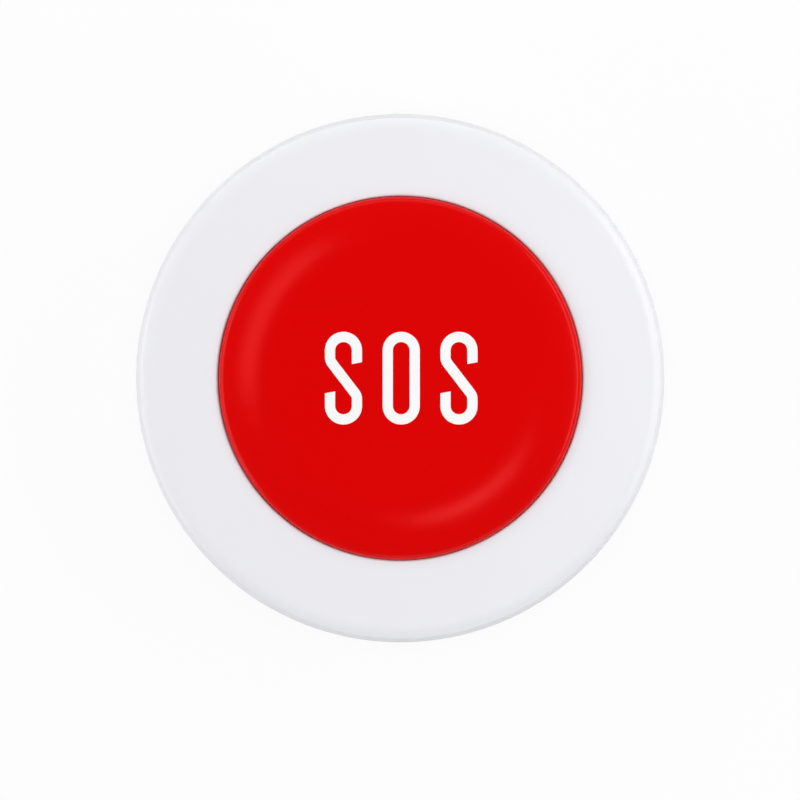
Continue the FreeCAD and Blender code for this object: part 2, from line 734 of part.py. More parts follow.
# Screws: turned shank and head with a cross recess, copied round the case
def make_screws(name, circle, seat, head_height, shank_radius, length, head_up):
    body = new_body(name)
    across, along = polar_place(circle, screw_direction)
    sign = "+" if head_up else "-"
    other = "-" if head_up else "+"
    head = new_sketch(body, f"{name}_head", "XY_Plane", seat)
    draw_circle(head, "screw_head_radius", across, along)
    head_pad = grow(body, head, head_height, reverse=not head_up)
    shank = new_sketch(body, f"{name}_shank", "XY_Plane", seat)
    draw_circle(shank, shank_radius, across, along)
    shank_pad = grow(body, shank, length, reverse=head_up)
    cross = new_sketch(body, f"{name}_cross", "XY_Plane", f"{seat} {sign} {head_height}")
    half_span = "cross_span / 2"
    half_width = "cross_width / 2"
    steps = (
        (half_span, f"-{half_width}"), (half_span, half_width), (half_width, half_width),
        (half_width, half_span), (f"-{half_width}", half_span), (f"-{half_width}", half_width),
        (f"-{half_span}", half_width), (f"-{half_span}", f"-{half_width}"),
        (f"-{half_width}", f"-{half_width}"), (f"-{half_width}", f"-{half_span}"),
        (half_width, f"-{half_span}"), (half_width, f"-{half_width}"),
    )
    draw_outline(cross, [(f"{across} + ({x})", f"{along} + ({y})") for x, y in steps])
    cross_cut = cut(body, cross, "cross_depth", reverse=not head_up)
    repeat_round(body, [head_pad, shank_pad, cross_cut], "screw_count")
    return body


# Board: round, scalloped past the screw bosses, with holes for its own screws
def make_circuit_board():
    body = new_body("circuit_board")
    disc = new_sketch(body, "board_disc", "XY_Plane", board_height)
    draw_circle(disc, board_radius)
    grow(body, disc, "board_wall")
    scallop = new_sketch(body, "boss_scallop", "XY_Plane", board_height)
    draw_circle(scallop, "boss_radius + notch_play", *polar_place(boss_circle, screw_direction))
    repeat_round(body, [cut(body, scallop, "board_wall", reverse=True)], "screw_count")
    hole = new_sketch(body, "board_hole", "XY_Plane", board_height)
    draw_circle(hole, "board_screw_radius + hole_play", *polar_place(board_post_circle, screw_direction))
    repeat_round(body, [cut(body, hole, "board_wall", reverse=True)], "screw_count")
    return body


# Push switch: moulded body with a round chamber, metal cover, plunger and four legs
def make_switch():
    body = new_body("switch_body")
    half = "(switch_width / 2)"
    clipped = f"({half} - switch_corner)"
    corners = [
        (half, f"-{clipped}"), (half, clipped), (clipped, half), (f"-{clipped}", half),
        (f"-{half}", clipped), (f"-{half}", f"-{clipped}"), (f"-{clipped}", f"-{half}"),
        (clipped, f"-{half}"),
    ]
    block = new_sketch(body, "switch_block", "XY_Plane", board_top)
    draw_outline(block, corners)
    grow(body, block, "switch_height")
    chamber = new_sketch(body, "switch_chamber", "XY_Plane", switch_top)
    draw_circle(chamber, "switch_bore")
    cut(body, chamber, "switch_height - switch_floor")

    cover = new_body("switch_cover")
    sheet_metal = new_sketch(cover, "switch_plate_outline", "XY_Plane", switch_top)
    draw_outline(sheet_metal, corners)
    draw_circle(sheet_metal, "plunger_radius + plunger_play")
    grow(cover, sheet_metal, "switch_plate")

    plunger = new_body("switch_plunger")
    section = new_sketch(plunger, "plunger_section", "XZ_Plane")
    flange_outer_radius = "plunger_radius + plunger_flange_width"
    draw_outline(section, [
        ("0", f"{switch_top} - plunger_flange"),
        (flange_outer_radius, f"{switch_top} - plunger_flange"),
        (flange_outer_radius, switch_top),
        ("plunger_radius", switch_top),
        ("plunger_radius", plunger_top),
        ("0", plunger_top),
    ])
    turn_round(plunger, section)
    soften(plunger, "Chamfer", "edge_break", [("plunger_radius", plunger_top)])

    leads = new_body("switch_leads")
    high = f"({board_top} + lead_rise)"
    knee = f"({half} + lead_reach)"
    lead_pads = []
    for name, side in (("lead_far", "-"), ("lead_near", "")):
        profile = new_sketch(leads, name, "XZ_Plane", f"{side}lead_offset")
        draw_outline(profile, [
            (half, f"{high} - lead_wall"),
            (f"{knee} - lead_wall", f"{high} - lead_wall"),
            (f"{knee} - lead_wall", board_top),
            (f"{knee} + lead_foot", board_top),
            (f"{knee} + lead_foot", f"{board_top} + lead_wall"),
            (knee, f"{board_top} + lead_wall"),
            (knee, high),
            (half, high),
        ])
        lead_pads.append(grow(leads, profile, "lead_width", both_ways=True))
    repeat_round(leads, lead_pads, "2")


# Coin cell: pressed can with a raised face inside its crimped edge
def make_coin_cell():
    body = new_body("coin_cell")
    section = new_sketch(body, "cell_section", "XZ_Plane")
    crimp_radius = "(cell_radius - cell_crimp)"
    shoulder_top = f"({cell_top} - cell_step)"
    draw_outline(section, [
        ("0", cell_base),
        ("cell_radius", cell_base),
        ("cell_radius", f"{shoulder_top} - cell_crimp"),
        (crimp_radius, shoulder_top),
        ("cell_face_radius", shoulder_top),
        ("cell_face_radius - cell_step", cell_top),
        ("0", cell_top),
    ])
    turn_round(body, section)
    soften(body, "Chamfer", "cell_round", [("cell_radius", cell_base)])
    return body


# Battery holder: ring under the board with lips below the cell and slots for contact and thumb
def make_battery_holder():
    body = new_body("battery_holder")
    ring = new_sketch(body, "holder_ring", "XY_Plane", holder_base)
    draw_circle(ring, holder_outer)
    draw_circle(ring, holder_inner)
    grow(body, ring, f"{board_height} - {holder_base}")
    lip = new_sketch(body, "holder_lip_outline", "XY_Plane", holder_base)
    draw_sector(lip, f"{holder_inner} - holder_lip - holder_play", f"{holder_inner} + holder_wall / 2",
                f"{screw_direction} - holder_lip_half_angle", f"{screw_direction} + holder_lip_half_angle")
    repeat_round(body, [grow(body, lip, "holder_lip_height")], "holder_lip_count")
    slot = new_sketch(body, "contact_slot", "XY_Plane", board_height)
    draw_box(slot, "holder_wall + 2 * contact_slot_reach", "contact_width + contact_slot_play",
             f"({holder_inner} + {holder_outer}) / 2")
    cut(body, slot, f"{board_height} - {cell_base} - contact_slot_floor")
    thumb = new_sketch(body, "holder_thumb_notch", "XY_Plane", holder_base)
    draw_box(thumb, "2 * thumb_radius", "holder_wall + 2 * thumb_notch_reach", "0",
             f"({holder_inner} + {holder_outer}) / 2")
    cut(body, thumb, "thumb_notch_depth", reverse=True)
    return body


# Contacts: a bent strip on the side of the cell and a leaf spring on its face
def make_contacts():
    strip = new_body("positive_contact")
    profile = new_sketch(strip, "strip_profile", "XZ_Plane")
    touch = "(cell_radius + contact_touch)"
    stand = f"({holder_inner} + holder_wall / 3)"
    bulge_height = f"({cell_base} + cell_height / 2)"
    low_end = f"({cell_base} + contact_end_lift)"
    bend_height = f"({cell_top} + contact_bend_lift)"
    draw_outline(profile, [
        (touch, bulge_height),
        (f"{touch} + contact_bulge", low_end),
        (f"{touch} + contact_bulge + contact_wall", low_end),
        (f"{touch} + contact_wall", bulge_height),
        (f"{stand} + contact_wall", bend_height),
        (f"{stand} + contact_wall", f"{board_height} - contact_wall"),
        (f"{stand} + contact_foot", f"{board_height} - contact_wall"),
        (f"{stand} + contact_foot", board_height),
        (stand, board_height),
        (stand, bend_height),
    ])
    grow(strip, profile, "contact_width", both_ways=True)

    leaf = new_body("negative_contact")
    base = new_sketch(leaf, "leaf_base", "XY_Plane", f"{board_height} - contact_wall")
    draw_box(base, "leaf_base_length", "leaf_base_width", "-leaf_base_length / 2")
    grow(leaf, base, "contact_wall")
    finger = new_sketch(leaf, "leaf_finger", "XZ_Plane")
    low = f"({cell_top} + contact_touch)"
    draw_outline(finger, [
        ("-leaf_base_length / 2", f"{board_height} - contact_wall"),
        ("0", f"{board_height} - contact_wall"),
        ("leaf_reach", low),
        ("leaf_reach + leaf_tip", f"{low} + contact_wall"),
        ("leaf_reach + leaf_tip", f"{low} + 2 * contact_wall"),
        ("leaf_reach", f"{low} + contact_wall"),
        ("0", board_height),
        ("-leaf_base_length / 2", board_height),
    ])
    grow(leaf, finger, "leaf_width", both_ways=True)


# Radio chip: flat package with a dimple at its first corner
def make_radio_chip():
    body = new_body("radio_chip")
    outline = new_sketch(body, "chip_outline", "XY_Plane")
    draw_box(outline, "chip_width", "chip_width")
    grow(body, outline, "chip_height")
    dimple = new_sketch(body, "chip_dimple_outline", "XY_Plane", "chip_height")
    draw_circle(dimple, "chip_dimple", "3 * chip_dimple - chip_width / 2", "chip_width / 2 - 3 * chip_dimple")
    cut(body, dimple, "chip_dimple_depth")
    place(body, "-chip_left", "chip_up", board_top)
    return body


# Crystal: small metal can with rounded corners
def make_crystal():
    body = new_body("crystal")
    outline = new_sketch(body, "crystal_outline", "XY_Plane")
    draw_box(outline, "crystal_length", "crystal_width")
    pad = grow(body, outline, "crystal_height")
    doc.recompute()
    upright = []
    for number, edge in enumerate(pad.Shape.Edges, start=1):
        box = edge.BoundBox
        if box.ZLength > 0.9 * edge.Length:
            upright.append(f"Edge{number}")
    rounding = body.newObject("PartDesign::Fillet", "crystal_corners")
    rounding.Base = (pad, upright)
    bind(rounding, "Radius", "crystal_round")
    place(body, "-crystal_left", "-crystal_down", board_top)
    return body


# Status lamp: base with a narrower lens on it
def make_status_led():
    body = new_body("status_led")
    base = new_sketch(body, "led_base_outline", "XY_Plane")
    draw_box(base, "led_length", "led_width")
    grow(body, base, "led_base")
    lens = new_sketch(body, "led_lens_outline", "XY_Plane", "led_base / 2")
    draw_box(lens, "led_lens_length", "led_width")
    grow(body, lens, "led_base / 2 + led_lens")
    place(body, "led_right", "led_up", board_top)
    return body


# Buffer capacitor: moulded block with a chamfered top
def make_buffer_capacitor():
    body = new_body("buffer_capacitor")
    outline = new_sketch(body, "buffer_outline", "XY_Plane")
    draw_box(outline, "buffer_length", "buffer_width")
    pad = grow(body, outline, "buffer_height")
    doc.recompute()
    top = []
    for number, edge in enumerate(pad.Shape.Edges, start=1):
        if edge.BoundBox.ZMin > 0.9 * value("buffer_height"):
            top.append(f"Edge{number}")
    chamfer = body.newObject("PartDesign::Chamfer", "buffer_top_edges")
    chamfer.Base = (pad, top)
    bind(chamfer, "Size", "buffer_chamfer")
    place(body, "buffer_right", "-buffer_down", board_top)
    return body


# Small parts: blocks on the board, as many separate solids in one node
def make_small_parts(name, height, rows):
    body = new_body(name)
    outline = new_sketch(body, f"{name}_outlines", "XY_Plane", board_top)
    for across, along in rows:
        draw_box(outline, "small_length", "small_width", across, along)
    grow(body, outline, height)
    return body


# A coil of wire about the body's axis; the wire has six flats
def wind_coil(body, radius, wire, pitch, height, base):
    wire_sides = 6
    section = new_sketch(body, f"{body.Name}_wire", "XZ_Plane")
    corners = []
    for side in range(wire_sides):
        turn = full_turn / wire_sides * (side + 0.5)
        corners.append((f"{radius} + {wire} * cos({turn})", f"{base} + {wire} * sin({turn})"))
    draw_outline(section, corners)
    coil = body.newObject("PartDesign::AdditiveHelix", f"{body.Name}_turns")
    coil.Profile = section
    coil.ReferenceAxis = (origin_feature(body, "Z_Axis"), [""])
    coil.Mode = "pitch-height-angle"
    bind(coil, "Pitch", pitch)
    bind(coil, "Height", height)
    return coil


# Return springs between the deck and the cap, each round its two seat pins
def make_return_springs():
    room = "(spring_room - 2 * spring_wire - 2 * spring_play)"
    for number in range(int(value("spring_count"))):
        body = new_body(f"return_spring_{number + 1}")
        wind_coil(body, "spring_radius", "spring_wire", f"{room} / spring_turns", room,
                  "(spring_wire + spring_play)")
        direction = f"({spring_direction} + {full_turn} / spring_count * {number})"
        place(body, *polar_place(spring_circle, direction), deck_top)


# Antenna: upright coil whose foot stands on the board beside the well
def make_antenna():
    body = new_body("antenna")
    foot = new_sketch(body, "antenna_foot", "XY_Plane")
    draw_circle(foot, "antenna_wire", "antenna_radius")
    grow(body, foot, "antenna_lift")
    wind_coil(body, "antenna_radius", "antenna_wire", "antenna_pitch",
              "antenna_pitch * antenna_turns", "antenna_lift")
    place(body, *polar_place(antenna_circle, antenna_direction), board_top)


def check_document():
    """Stop if any object failed or any sub-part is not a sound shape."""
    for item in doc.Objects:
        if "Invalid" in item.State or "Error" in item.State:
            raise RuntimeError(f"{item.Name} failed: {item.State}")
    for part in parts:
        if part.Shape.isNull() or not part.Shape.isValid() or not part.Shape.Solids:
            raise RuntimeError(f"{part.Label} is not a sound shape")


make_front_cover()
make_push_button()
make_rear_cover()
make_wall_plate()
make_adhesive_pads()
make_screws("case_screws", boss_circle, rear_top, "case_head_height",
            "screw_radius", "case_screw_length", False)
make_screws("board_screws", board_post_circle, board_top, "board_head_height",
            "board_screw_radius", "board_screw_length", True)
make_circuit_board()
make_switch()
make_coin_cell()
make_battery_holder()
make_contacts()
make_radio_chip()
make_crystal()
make_status_led()
make_buffer_capacitor()
beside_chip = "(chip_width / 2 + small_length - chip_left)"
above_chip = "(chip_up + chip_width / 2 + small_length)"
make_small_parts("chip_capacitors", "capacitor_height", [
    (beside_chip, "small_width"),
    (beside_chip, "-small_width"),
    ("-chip_left", above_chip),
    ("2 * small_length - chip_left", above_chip),
])
below_switch = "(-switch_width / 2 - 2 * small_length)"
make_small_parts("chip_resistors", "resistor_height", [
    ("-2 * small_length", below_switch),
    ("0", below_switch),
    ("led_right", "led_up + led_width + small_width"),
    ("led_right", "led_up - led_width - small_width"),
])
make_return_springs()
make_antenna()
doc.recompute()
check_document()

os.makedirs("parts", exist_ok=True)
for part in parts:
    part.Shape.exportStep(f"parts/{part.Label}.step")
    print(part.Label, len(part.Shape.Solids), round(part.Shape.Volume, 3))
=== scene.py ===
import bmesh
import bpy
import math
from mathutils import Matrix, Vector


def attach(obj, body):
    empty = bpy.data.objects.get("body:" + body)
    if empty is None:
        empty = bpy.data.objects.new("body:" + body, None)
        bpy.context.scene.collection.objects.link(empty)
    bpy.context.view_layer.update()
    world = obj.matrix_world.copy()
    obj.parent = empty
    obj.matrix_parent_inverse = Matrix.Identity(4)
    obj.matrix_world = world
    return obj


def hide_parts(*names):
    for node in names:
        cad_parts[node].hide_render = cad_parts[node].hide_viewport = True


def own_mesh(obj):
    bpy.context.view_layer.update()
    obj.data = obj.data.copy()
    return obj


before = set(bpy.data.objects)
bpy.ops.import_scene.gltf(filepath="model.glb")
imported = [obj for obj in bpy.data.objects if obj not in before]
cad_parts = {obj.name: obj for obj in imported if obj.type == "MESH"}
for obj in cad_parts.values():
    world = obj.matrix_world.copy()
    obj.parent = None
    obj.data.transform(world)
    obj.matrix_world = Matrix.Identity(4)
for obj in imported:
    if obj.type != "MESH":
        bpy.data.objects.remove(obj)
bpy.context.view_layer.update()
print("frame loaded:", len(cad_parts), "nodes")

mm = 0.001
near = 0.01 * mm  # slack when faces, edges and verts are picked by their place
pole = 0.02  # mm, the smallest ring, at the axis of a turned piece


# Helpers for modelling by hand

def clearSelection():
    if bpy.context.object and bpy.context.object.mode != "OBJECT":
        bpy.ops.object.mode_set(mode="OBJECT")
    bpy.ops.object.select_all(action="DESELECT")


def onlyThis(piece):
    clearSelection()
    piece.select_set(True)
    bpy.context.view_layer.objects.active = piece


def settle(piece):
    # leaves the object at the origin, unturned and unscaled
    onlyThis(piece)
    bpy.ops.object.transform_apply(location=True, rotation=True, scale=True)
    return piece


def closeUp(piece, gap=0.000001):
    # merges doubles and turns the faces outwards
    onlyThis(piece)
    bpy.ops.object.mode_set(mode="EDIT")
    bpy.ops.mesh.select_all(action="SELECT")
    bpy.ops.mesh.remove_doubles(threshold=gap)
    bpy.ops.mesh.normals_make_consistent(inside=False)
    bpy.ops.object.mode_set(mode="OBJECT")
    return piece


def pick(piece, kind, wanted):
    # selects the faces, edges or verts whose middle passes the test, in edit mode
    bpy.ops.mesh.select_mode(type={"faces": "FACE", "edges": "EDGE", "verts": "VERT"}[kind])
    grid = bmesh.from_edit_mesh(piece.data)
    for part in (*grid.faces, *grid.edges, *grid.verts):
        part.select = False
    for part in getattr(grid, kind):
        corners = [part.co] if kind == "verts" else [corner.co for corner in part.verts]
        part.select = wanted(sum(corners, Vector()) / len(corners))
    grid.select_flush_mode()
    bmesh.update_edit_mesh(piece.data)


def pickEdges(piece, wanted):
    pick(piece, "edges", wanted)


def arcStations(across, height, radius, first, last, steps):
    # points of an arc in a section, angles in degrees from straight outwards
    points = []
    for step in range(steps + 1):
        angle = math.radians(first + (last - first) * step / steps)
        points.append((across + radius * math.cos(angle), height + radius * math.sin(angle)))
    return points


def turnPiece(name, stations, segments, capEnds=False):
    # a circle pulled from station to station as on a lathe; stations are (radius, height) in mm
    clearSelection()
    firstRadius, firstHeight = stations[0]
    bpy.ops.mesh.primitive_circle_add(vertices=segments, radius=firstRadius * mm,
                                      location=(0, 0, firstHeight * mm))
    piece = bpy.context.object
    piece.name = name
    bpy.ops.object.mode_set(mode="EDIT")
    bpy.ops.mesh.select_all(action="SELECT")
    if capEnds:
        bpy.ops.mesh.edge_face_add()
        pickEdges(piece, lambda middle: True)
    for (radius, height), (nextRadius, nextHeight) in zip(stations, stations[1:]):
        rise = (nextHeight - height) * mm
        bpy.ops.mesh.extrude_edges_move(TRANSFORM_OT_translate={"value": (0, 0, rise)})
        share = nextRadius / radius
        bpy.ops.transform.resize(value=(share, share, 1), center_override=(0, 0, 0))
    if capEnds:
        bpy.ops.mesh.edge_face_add()
    bpy.ops.object.mode_set(mode="OBJECT")
    settle(piece)
    return closeUp(piece)


def movedTo(piece, across=0, along=0, up=0):
    piece.location = (across * mm, along * mm, up * mm)
    return settle(piece)


def copyTo(piece, across, along, up=0):
    # a copy with a mesh of its own, moved
    onlyThis(piece)
    bpy.ops.object.duplicate(linked=False)
    return movedTo(bpy.context.object, across, along, up)


def turnedCopy(piece, degrees):
    # a copy with a mesh of its own, turned round the axis
    onlyThis(piece)
    bpy.ops.object.duplicate(linked=False)
    twin = bpy.context.object
    twin.rotation_euler[2] = math.radians(degrees)
    return settle(twin)


def roundTheAxis(piece, count):
    # the piece and its copies, evenly round the axis, as one
    return joinPieces([piece] + [turnedCopy(piece, 360 / count * number) for number in range(1, count)])


def around(circle, degrees):
    angle = math.radians(degrees)
    return circle * math.cos(angle), circle * math.sin(angle)


def makeBlock(name, size, centre, soft=0.0, steps=2):
    # a block whose edges are rounded by soft
    clearSelection()
    bpy.ops.mesh.primitive_cube_add(size=mm, location=[place * mm for place in centre])
    block = bpy.context.object
    block.name = name
    block.scale = size
    settle(block)
    if soft:
        rounding = block.modifiers.new("rounding", "BEVEL")
        rounding.width = soft * mm
        rounding.segments = steps
        bpy.ops.object.modifier_apply(modifier=rounding.name)
    return block


def makeSector(name, inner, outer, low, high, first, sweep, steps=6, shape=None):
    # a section in the plane of the axis, shaped further if asked, then spun from first through sweep
    clearSelection()
    middle = ((inner + outer) / 2 * mm, 0, (low + high) / 2 * mm)
    bpy.ops.mesh.primitive_plane_add(size=mm, location=middle, rotation=(math.pi / 2, 0, 0))
    sector = bpy.context.object
    sector.name = name
    sector.scale = (outer - inner, high - low, 1)
    settle(sector)
    if shape:
        bpy.ops.object.mode_set(mode="EDIT")
        shape(sector)
        bpy.ops.object.mode_set(mode="OBJECT")
    sector.rotation_euler[2] = math.radians(first)
    settle(sector)
    bpy.ops.object.mode_set(mode="EDIT")
    bpy.ops.mesh.select_all(action="SELECT")
    bpy.ops.mesh.spin(steps=steps, angle=math.radians(sweep), center=(0, 0, 0), axis=(0, 0, -1))
    return closeUp(sector)


def joinPieces(pieces):
    onlyThis(pieces[0])
    for piece in pieces:
        piece.select_set(True)
    bpy.ops.object.join()
    return pieces[0]


def carve(piece, tool, operation):
    # joins a tool's shape to the piece or takes it away
    onlyThis(piece)
    step = piece.modifiers.new("shape", "BOOLEAN")
    step.operation = operation
    step.solver = "EXACT"
    step.object = tool
    bpy.ops.object.modifier_apply(modifier=step.name)
    bpy.data.objects.remove(tool)
    return piece


def smooth(piece, angle=30):
    # small roundings blend into the large faces, which keep their own direction
    onlyThis(piece)
    bpy.ops.object.shade_smooth_by_angle(angle=math.radians(angle))
    blend = piece.modifiers.new("blend", "WEIGHTED_NORMAL")
    blend.keep_sharp = True
    bpy.ops.object.modifier_apply(modifier=blend.name)


def finishPiece(piece, name, paints, body, stands=()):
    # name, smooth shading, finish and place in the frame
    piece.name = name
    piece.data.name = name
    smooth(piece)
    for paint in paints:
        if paint.name not in piece.data.materials:
            piece.data.materials.append(paint)
    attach(piece, body)
    if stands:
        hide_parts(*stands)
    print(name, "done:", len(piece.data.polygons), "faces")
    return piece


def paintFaces(piece, paint, wanted):
    # gives the faces that pass the test a finish of their own
    onlyThis(piece)
    piece.data.materials.append(paint)
    piece.active_material_index = len(piece.data.materials) - 1
    bpy.ops.object.mode_set(mode="EDIT")
    pick(piece, "faces", wanted)
    bpy.ops.object.material_slot_assign()
    bpy.ops.object.mode_set(mode="OBJECT")


def fillEnds(piece):
    # closes every open end with a face
    closeUp(piece)
    bpy.ops.object.mode_set(mode="EDIT")
    bpy.ops.mesh.select_all(action="DESELECT")
    bpy.ops.mesh.select_mode(type="EDGE")
    bpy.ops.mesh.select_non_manifold(use_wire=False, use_multi_face=False, use_non_contiguous=False,
                                     use_verts=False)
    bpy.ops.mesh.edge_face_add()
    bpy.ops.object.mode_set(mode="OBJECT")
    return closeUp(piece)


def windWire(name, circle, wire, low, runs, sides, stepsPerTurn, turned=0.0):
    # a wire's section wound round the axis; each run is (turns, rise), and the runs join end to end
    lengths = []
    for turns, rise in runs:
        clearSelection()
        bpy.ops.mesh.primitive_circle_add(vertices=sides, radius=wire * mm, rotation=(math.pi / 2, turned, 0),
                                          location=(circle * mm, 0, low * mm))
        length = settle(bpy.context.object)
        winding = length.modifiers.new("winding", "SCREW")
        winding.steps = winding.render_steps = stepsPerTurn
        winding.iterations = turns
        winding.screw_offset = rise / turns * mm
        bpy.ops.object.modifier_apply(modifier=winding.name)
        lengths.append(length)
        low += rise
    wound = joinPieces(lengths)
    wound.name = name
    return wound


# Helpers for shader nodes

def feed(tree, socket, thing):
    # a plain number or colour is set on the socket, an output is linked to it
    if isinstance(thing, (int, float)):
        socket.default_value = thing
    elif isinstance(thing, tuple):
        socket.default_value = (*thing, 1) if socket.type == "RGBA" and len(thing) == 3 else thing
    else:
        tree.links.new(thing, socket)


def feedAll(tree, node, **sockets):
    # in a socket's label an underscore stands for a blank
    for label, thing in sockets.items():
        feed(tree, node.inputs[label.replace("_", " ")], thing)
    return node


def addNode(tree, kind, **sockets):
    return feedAll(tree, tree.nodes.new(kind), **sockets)


def addMath(tree, operation, first, second=0.0):
    step = tree.nodes.new("ShaderNodeMath")
    step.operation = operation
    feed(tree, step.inputs[0], first)
    feed(tree, step.inputs[1], second)
    return step.outputs[0]


def addRange(tree, value, spans):
    # carries a value from the span of the first two numbers to that of the last two
    fromLow, fromHigh, toLow, toHigh = spans
    step = addNode(tree, "ShaderNodeMapRange", Value=value, From_Min=fromLow, From_Max=fromHigh,
                   To_Min=toLow, To_Max=toHigh)
    return step.outputs["Result"]


def mixShaders(tree, share, first, second):
    mix = addNode(tree, "ShaderNodeMixShader", Fac=share)
    tree.links.new(first, mix.inputs[1])
    tree.links.new(second, mix.inputs[2])
    return mix.outputs[0]


def mirroredRays(tree, path):
    # 1 where a ray comes off a gloss or through something clear
    return addMath(tree, "MAXIMUM", path.outputs["Is Glossy Ray"], path.outputs["Is Transmission Ray"])


def newFinish(name, fixed=None):
    material = bpy.data.materials.new(name)
    material.use_nodes = True
    tree = material.node_tree
    return material, tree, feedAll(tree, tree.nodes["Principled BSDF"], **(fixed or {}))


# Camera: straight above the face, at the photograph's framing

cameraSizes = {
    "distance": 3600, "rimHeight": 15.4, "frameWidth": 90.52, "sensor": 36, "shiftRight": -0.0004,
    "shiftUp": -0.0273, "clipStart": 50, "clipEnd": 40000,
}

camera = bpy.data.cameras.new("frontCamera")
camera.sensor_width = cameraSizes["sensor"]
camera.lens = cameraSizes["sensor"] * cameraSizes["distance"] / cameraSizes["frameWidth"]
camera.shift_x = cameraSizes["shiftRight"]
camera.shift_y = cameraSizes["shiftUp"]
camera.clip_start = cameraSizes["clipStart"] * mm
camera.clip_end = cameraSizes["clipEnd"] * mm
cameraObject = bpy.data.objects.new("frontCamera", camera)
cameraObject.location = (0, 0, (cameraSizes["distance"] + cameraSizes["rimHeight"]) * mm)
bpy.context.scene.collection.objects.link(cameraObject)
bpy.context.scene.camera = cameraObject
bpy.context.scene.view_settings.view_transform = "Standard"


# Studio: area lamps, soft sky, pale floor

lampSettings = {
    "keyRight": {"azimuth": 8, "zenith": 48, "away": 0.45, "size": (0.48, 0.18), "level": 4.4},
    "fillTop": {"azimuth": 96, "zenith": 58, "away": 0.5, "size": (0.62, 0.26), "level": 1.5},
    "fillLeft": {"azimuth": 186, "zenith": 65, "away": 1.2, "size": (1.4, 0.5), "level": 3.6},
    "fillBottom": {"azimuth": 283, "zenith": 66, "away": 1.4, "size": (1.0, 0.5), "level": 1.35},
}
stripSettings = {
    "stripUpperLeft": {"azimuth": 154.5, "span": 66, "zenith": 19.2, "width": 10.5, "count": 7, "level": 2.4},
    "stripLowerRight": {"azimuth": -58, "span": 48, "zenith": 13.8, "width": 6.0, "count": 5, "level": 4.4},
}
stripShape = {"away": 1.2, "overlap": 1.02}


def towards(azimuth, zenith):
    azimuth, zenith = math.radians(azimuth), math.radians(zenith)
    outwards = math.sin(zenith)
    return Vector((outwards * math.cos(azimuth), outwards * math.sin(azimuth), math.cos(zenith)))


def addLamp(name, azimuth, zenith, away, size, level):
    # level is what the lamp's face shows, where 1 is white
    lamp = bpy.data.lights.new(name, "AREA")
    lamp.shape = "RECTANGLE"
    lamp.size, lamp.size_y = size
    lamp.energy = level * math.pi * size[0] * size[1]
    lampObject = bpy.data.objects.new(name, lamp)
    direction = towards(azimuth, zenith)
    lampObject.location = direction * away
    lampObject.rotation_euler = direction.to_track_quat("Z", "Y").to_euler()
    lampObject.visible_camera = False
    bpy.context.scene.collection.objects.link(lampObject)
    return lampObject


def addStrip(name, azimuth, span, zenith, width, count, level):
    # a curved lamp of flat ones side by side, each turned to lie along the curve
    away = stripShape["away"]
    share = span / count
    reach = away * math.sin(math.radians(zenith))
    size = (2 * reach * math.sin(math.radians(share / 2)) * stripShape["overlap"], away * math.radians(width))
    for number in range(count):
        turn = azimuth + share * (number - (count - 1) / 2)
        lampObject = addLamp(f"{name}{number}", turn, zenith, away, size, level)
        direction = towards(turn, zenith)
        sideways = towards(turn + 90, 90)
        outwards = sideways.cross(direction)
        lampObject.rotation_euler = (math.atan2(outwards.z, direction.z), 0, math.atan2(sideways.y, sideways.x))


for name, lamp in lampSettings.items():
    addLamp(name, **lamp)
for name, strip in stripSettings.items():
    addStrip(name, **strip)

# the last three are spans: two heights of the sky and the level at each
skySettings = {
    "tint": (0.98, 0.985, 1.0), "white": (1, 1, 1),
    "lit": (0.1, 1.0, 0.52, 0.2), "mirrored": (0.55, 0.98, 1.0, 0.2), "horizon": (0.12, 0.5, 0.55, 1.0),
}

world = bpy.data.worlds.new("softSky")
world.use_nodes = True
bpy.context.scene.world = world
sky = world.node_tree
sky.nodes.clear()
skyDirection = addNode(sky, "ShaderNodeTexCoord").outputs["Generated"]
skyHeight = addNode(sky, "ShaderNodeSeparateXYZ", Vector=skyDirection).outputs["Z"]
skyLevels = {label: addRange(sky, skyHeight, skySettings[label]) for label in ("lit", "mirrored", "horizon")}
skyLight = addNode(sky, "ShaderNodeBackground", Color=skySettings["tint"], Strength=skyLevels["lit"])
skyWhite = addNode(sky, "ShaderNodeBackground", Color=skySettings["white"], Strength=1)
skyPath = addNode(sky, "ShaderNodeLightPath")
skyMirrored = addMath(sky, "MULTIPLY", skyLevels["mirrored"], skyLevels["horizon"])
skyMirrored = addMath(sky, "MULTIPLY", mirroredRays(sky, skyPath), skyMirrored)
skySeen = addMath(sky, "MAXIMUM", skyPath.outputs["Is Camera Ray"], skyMirrored)
addNode(sky, "ShaderNodeOutputWorld",
        Surface=mixShaders(sky, skySeen, skyLight.outputs[0], skyWhite.outputs[0]))

floorSettings = {
    "radius": 6, "sides": 96, "colour": (0.78, 0.78, 0.78), "roughness": 0.9, "specular": 0.1,
    "white": (1, 1, 1), "whiteShare": 0.92, "mirroredShare": 0.38,
}

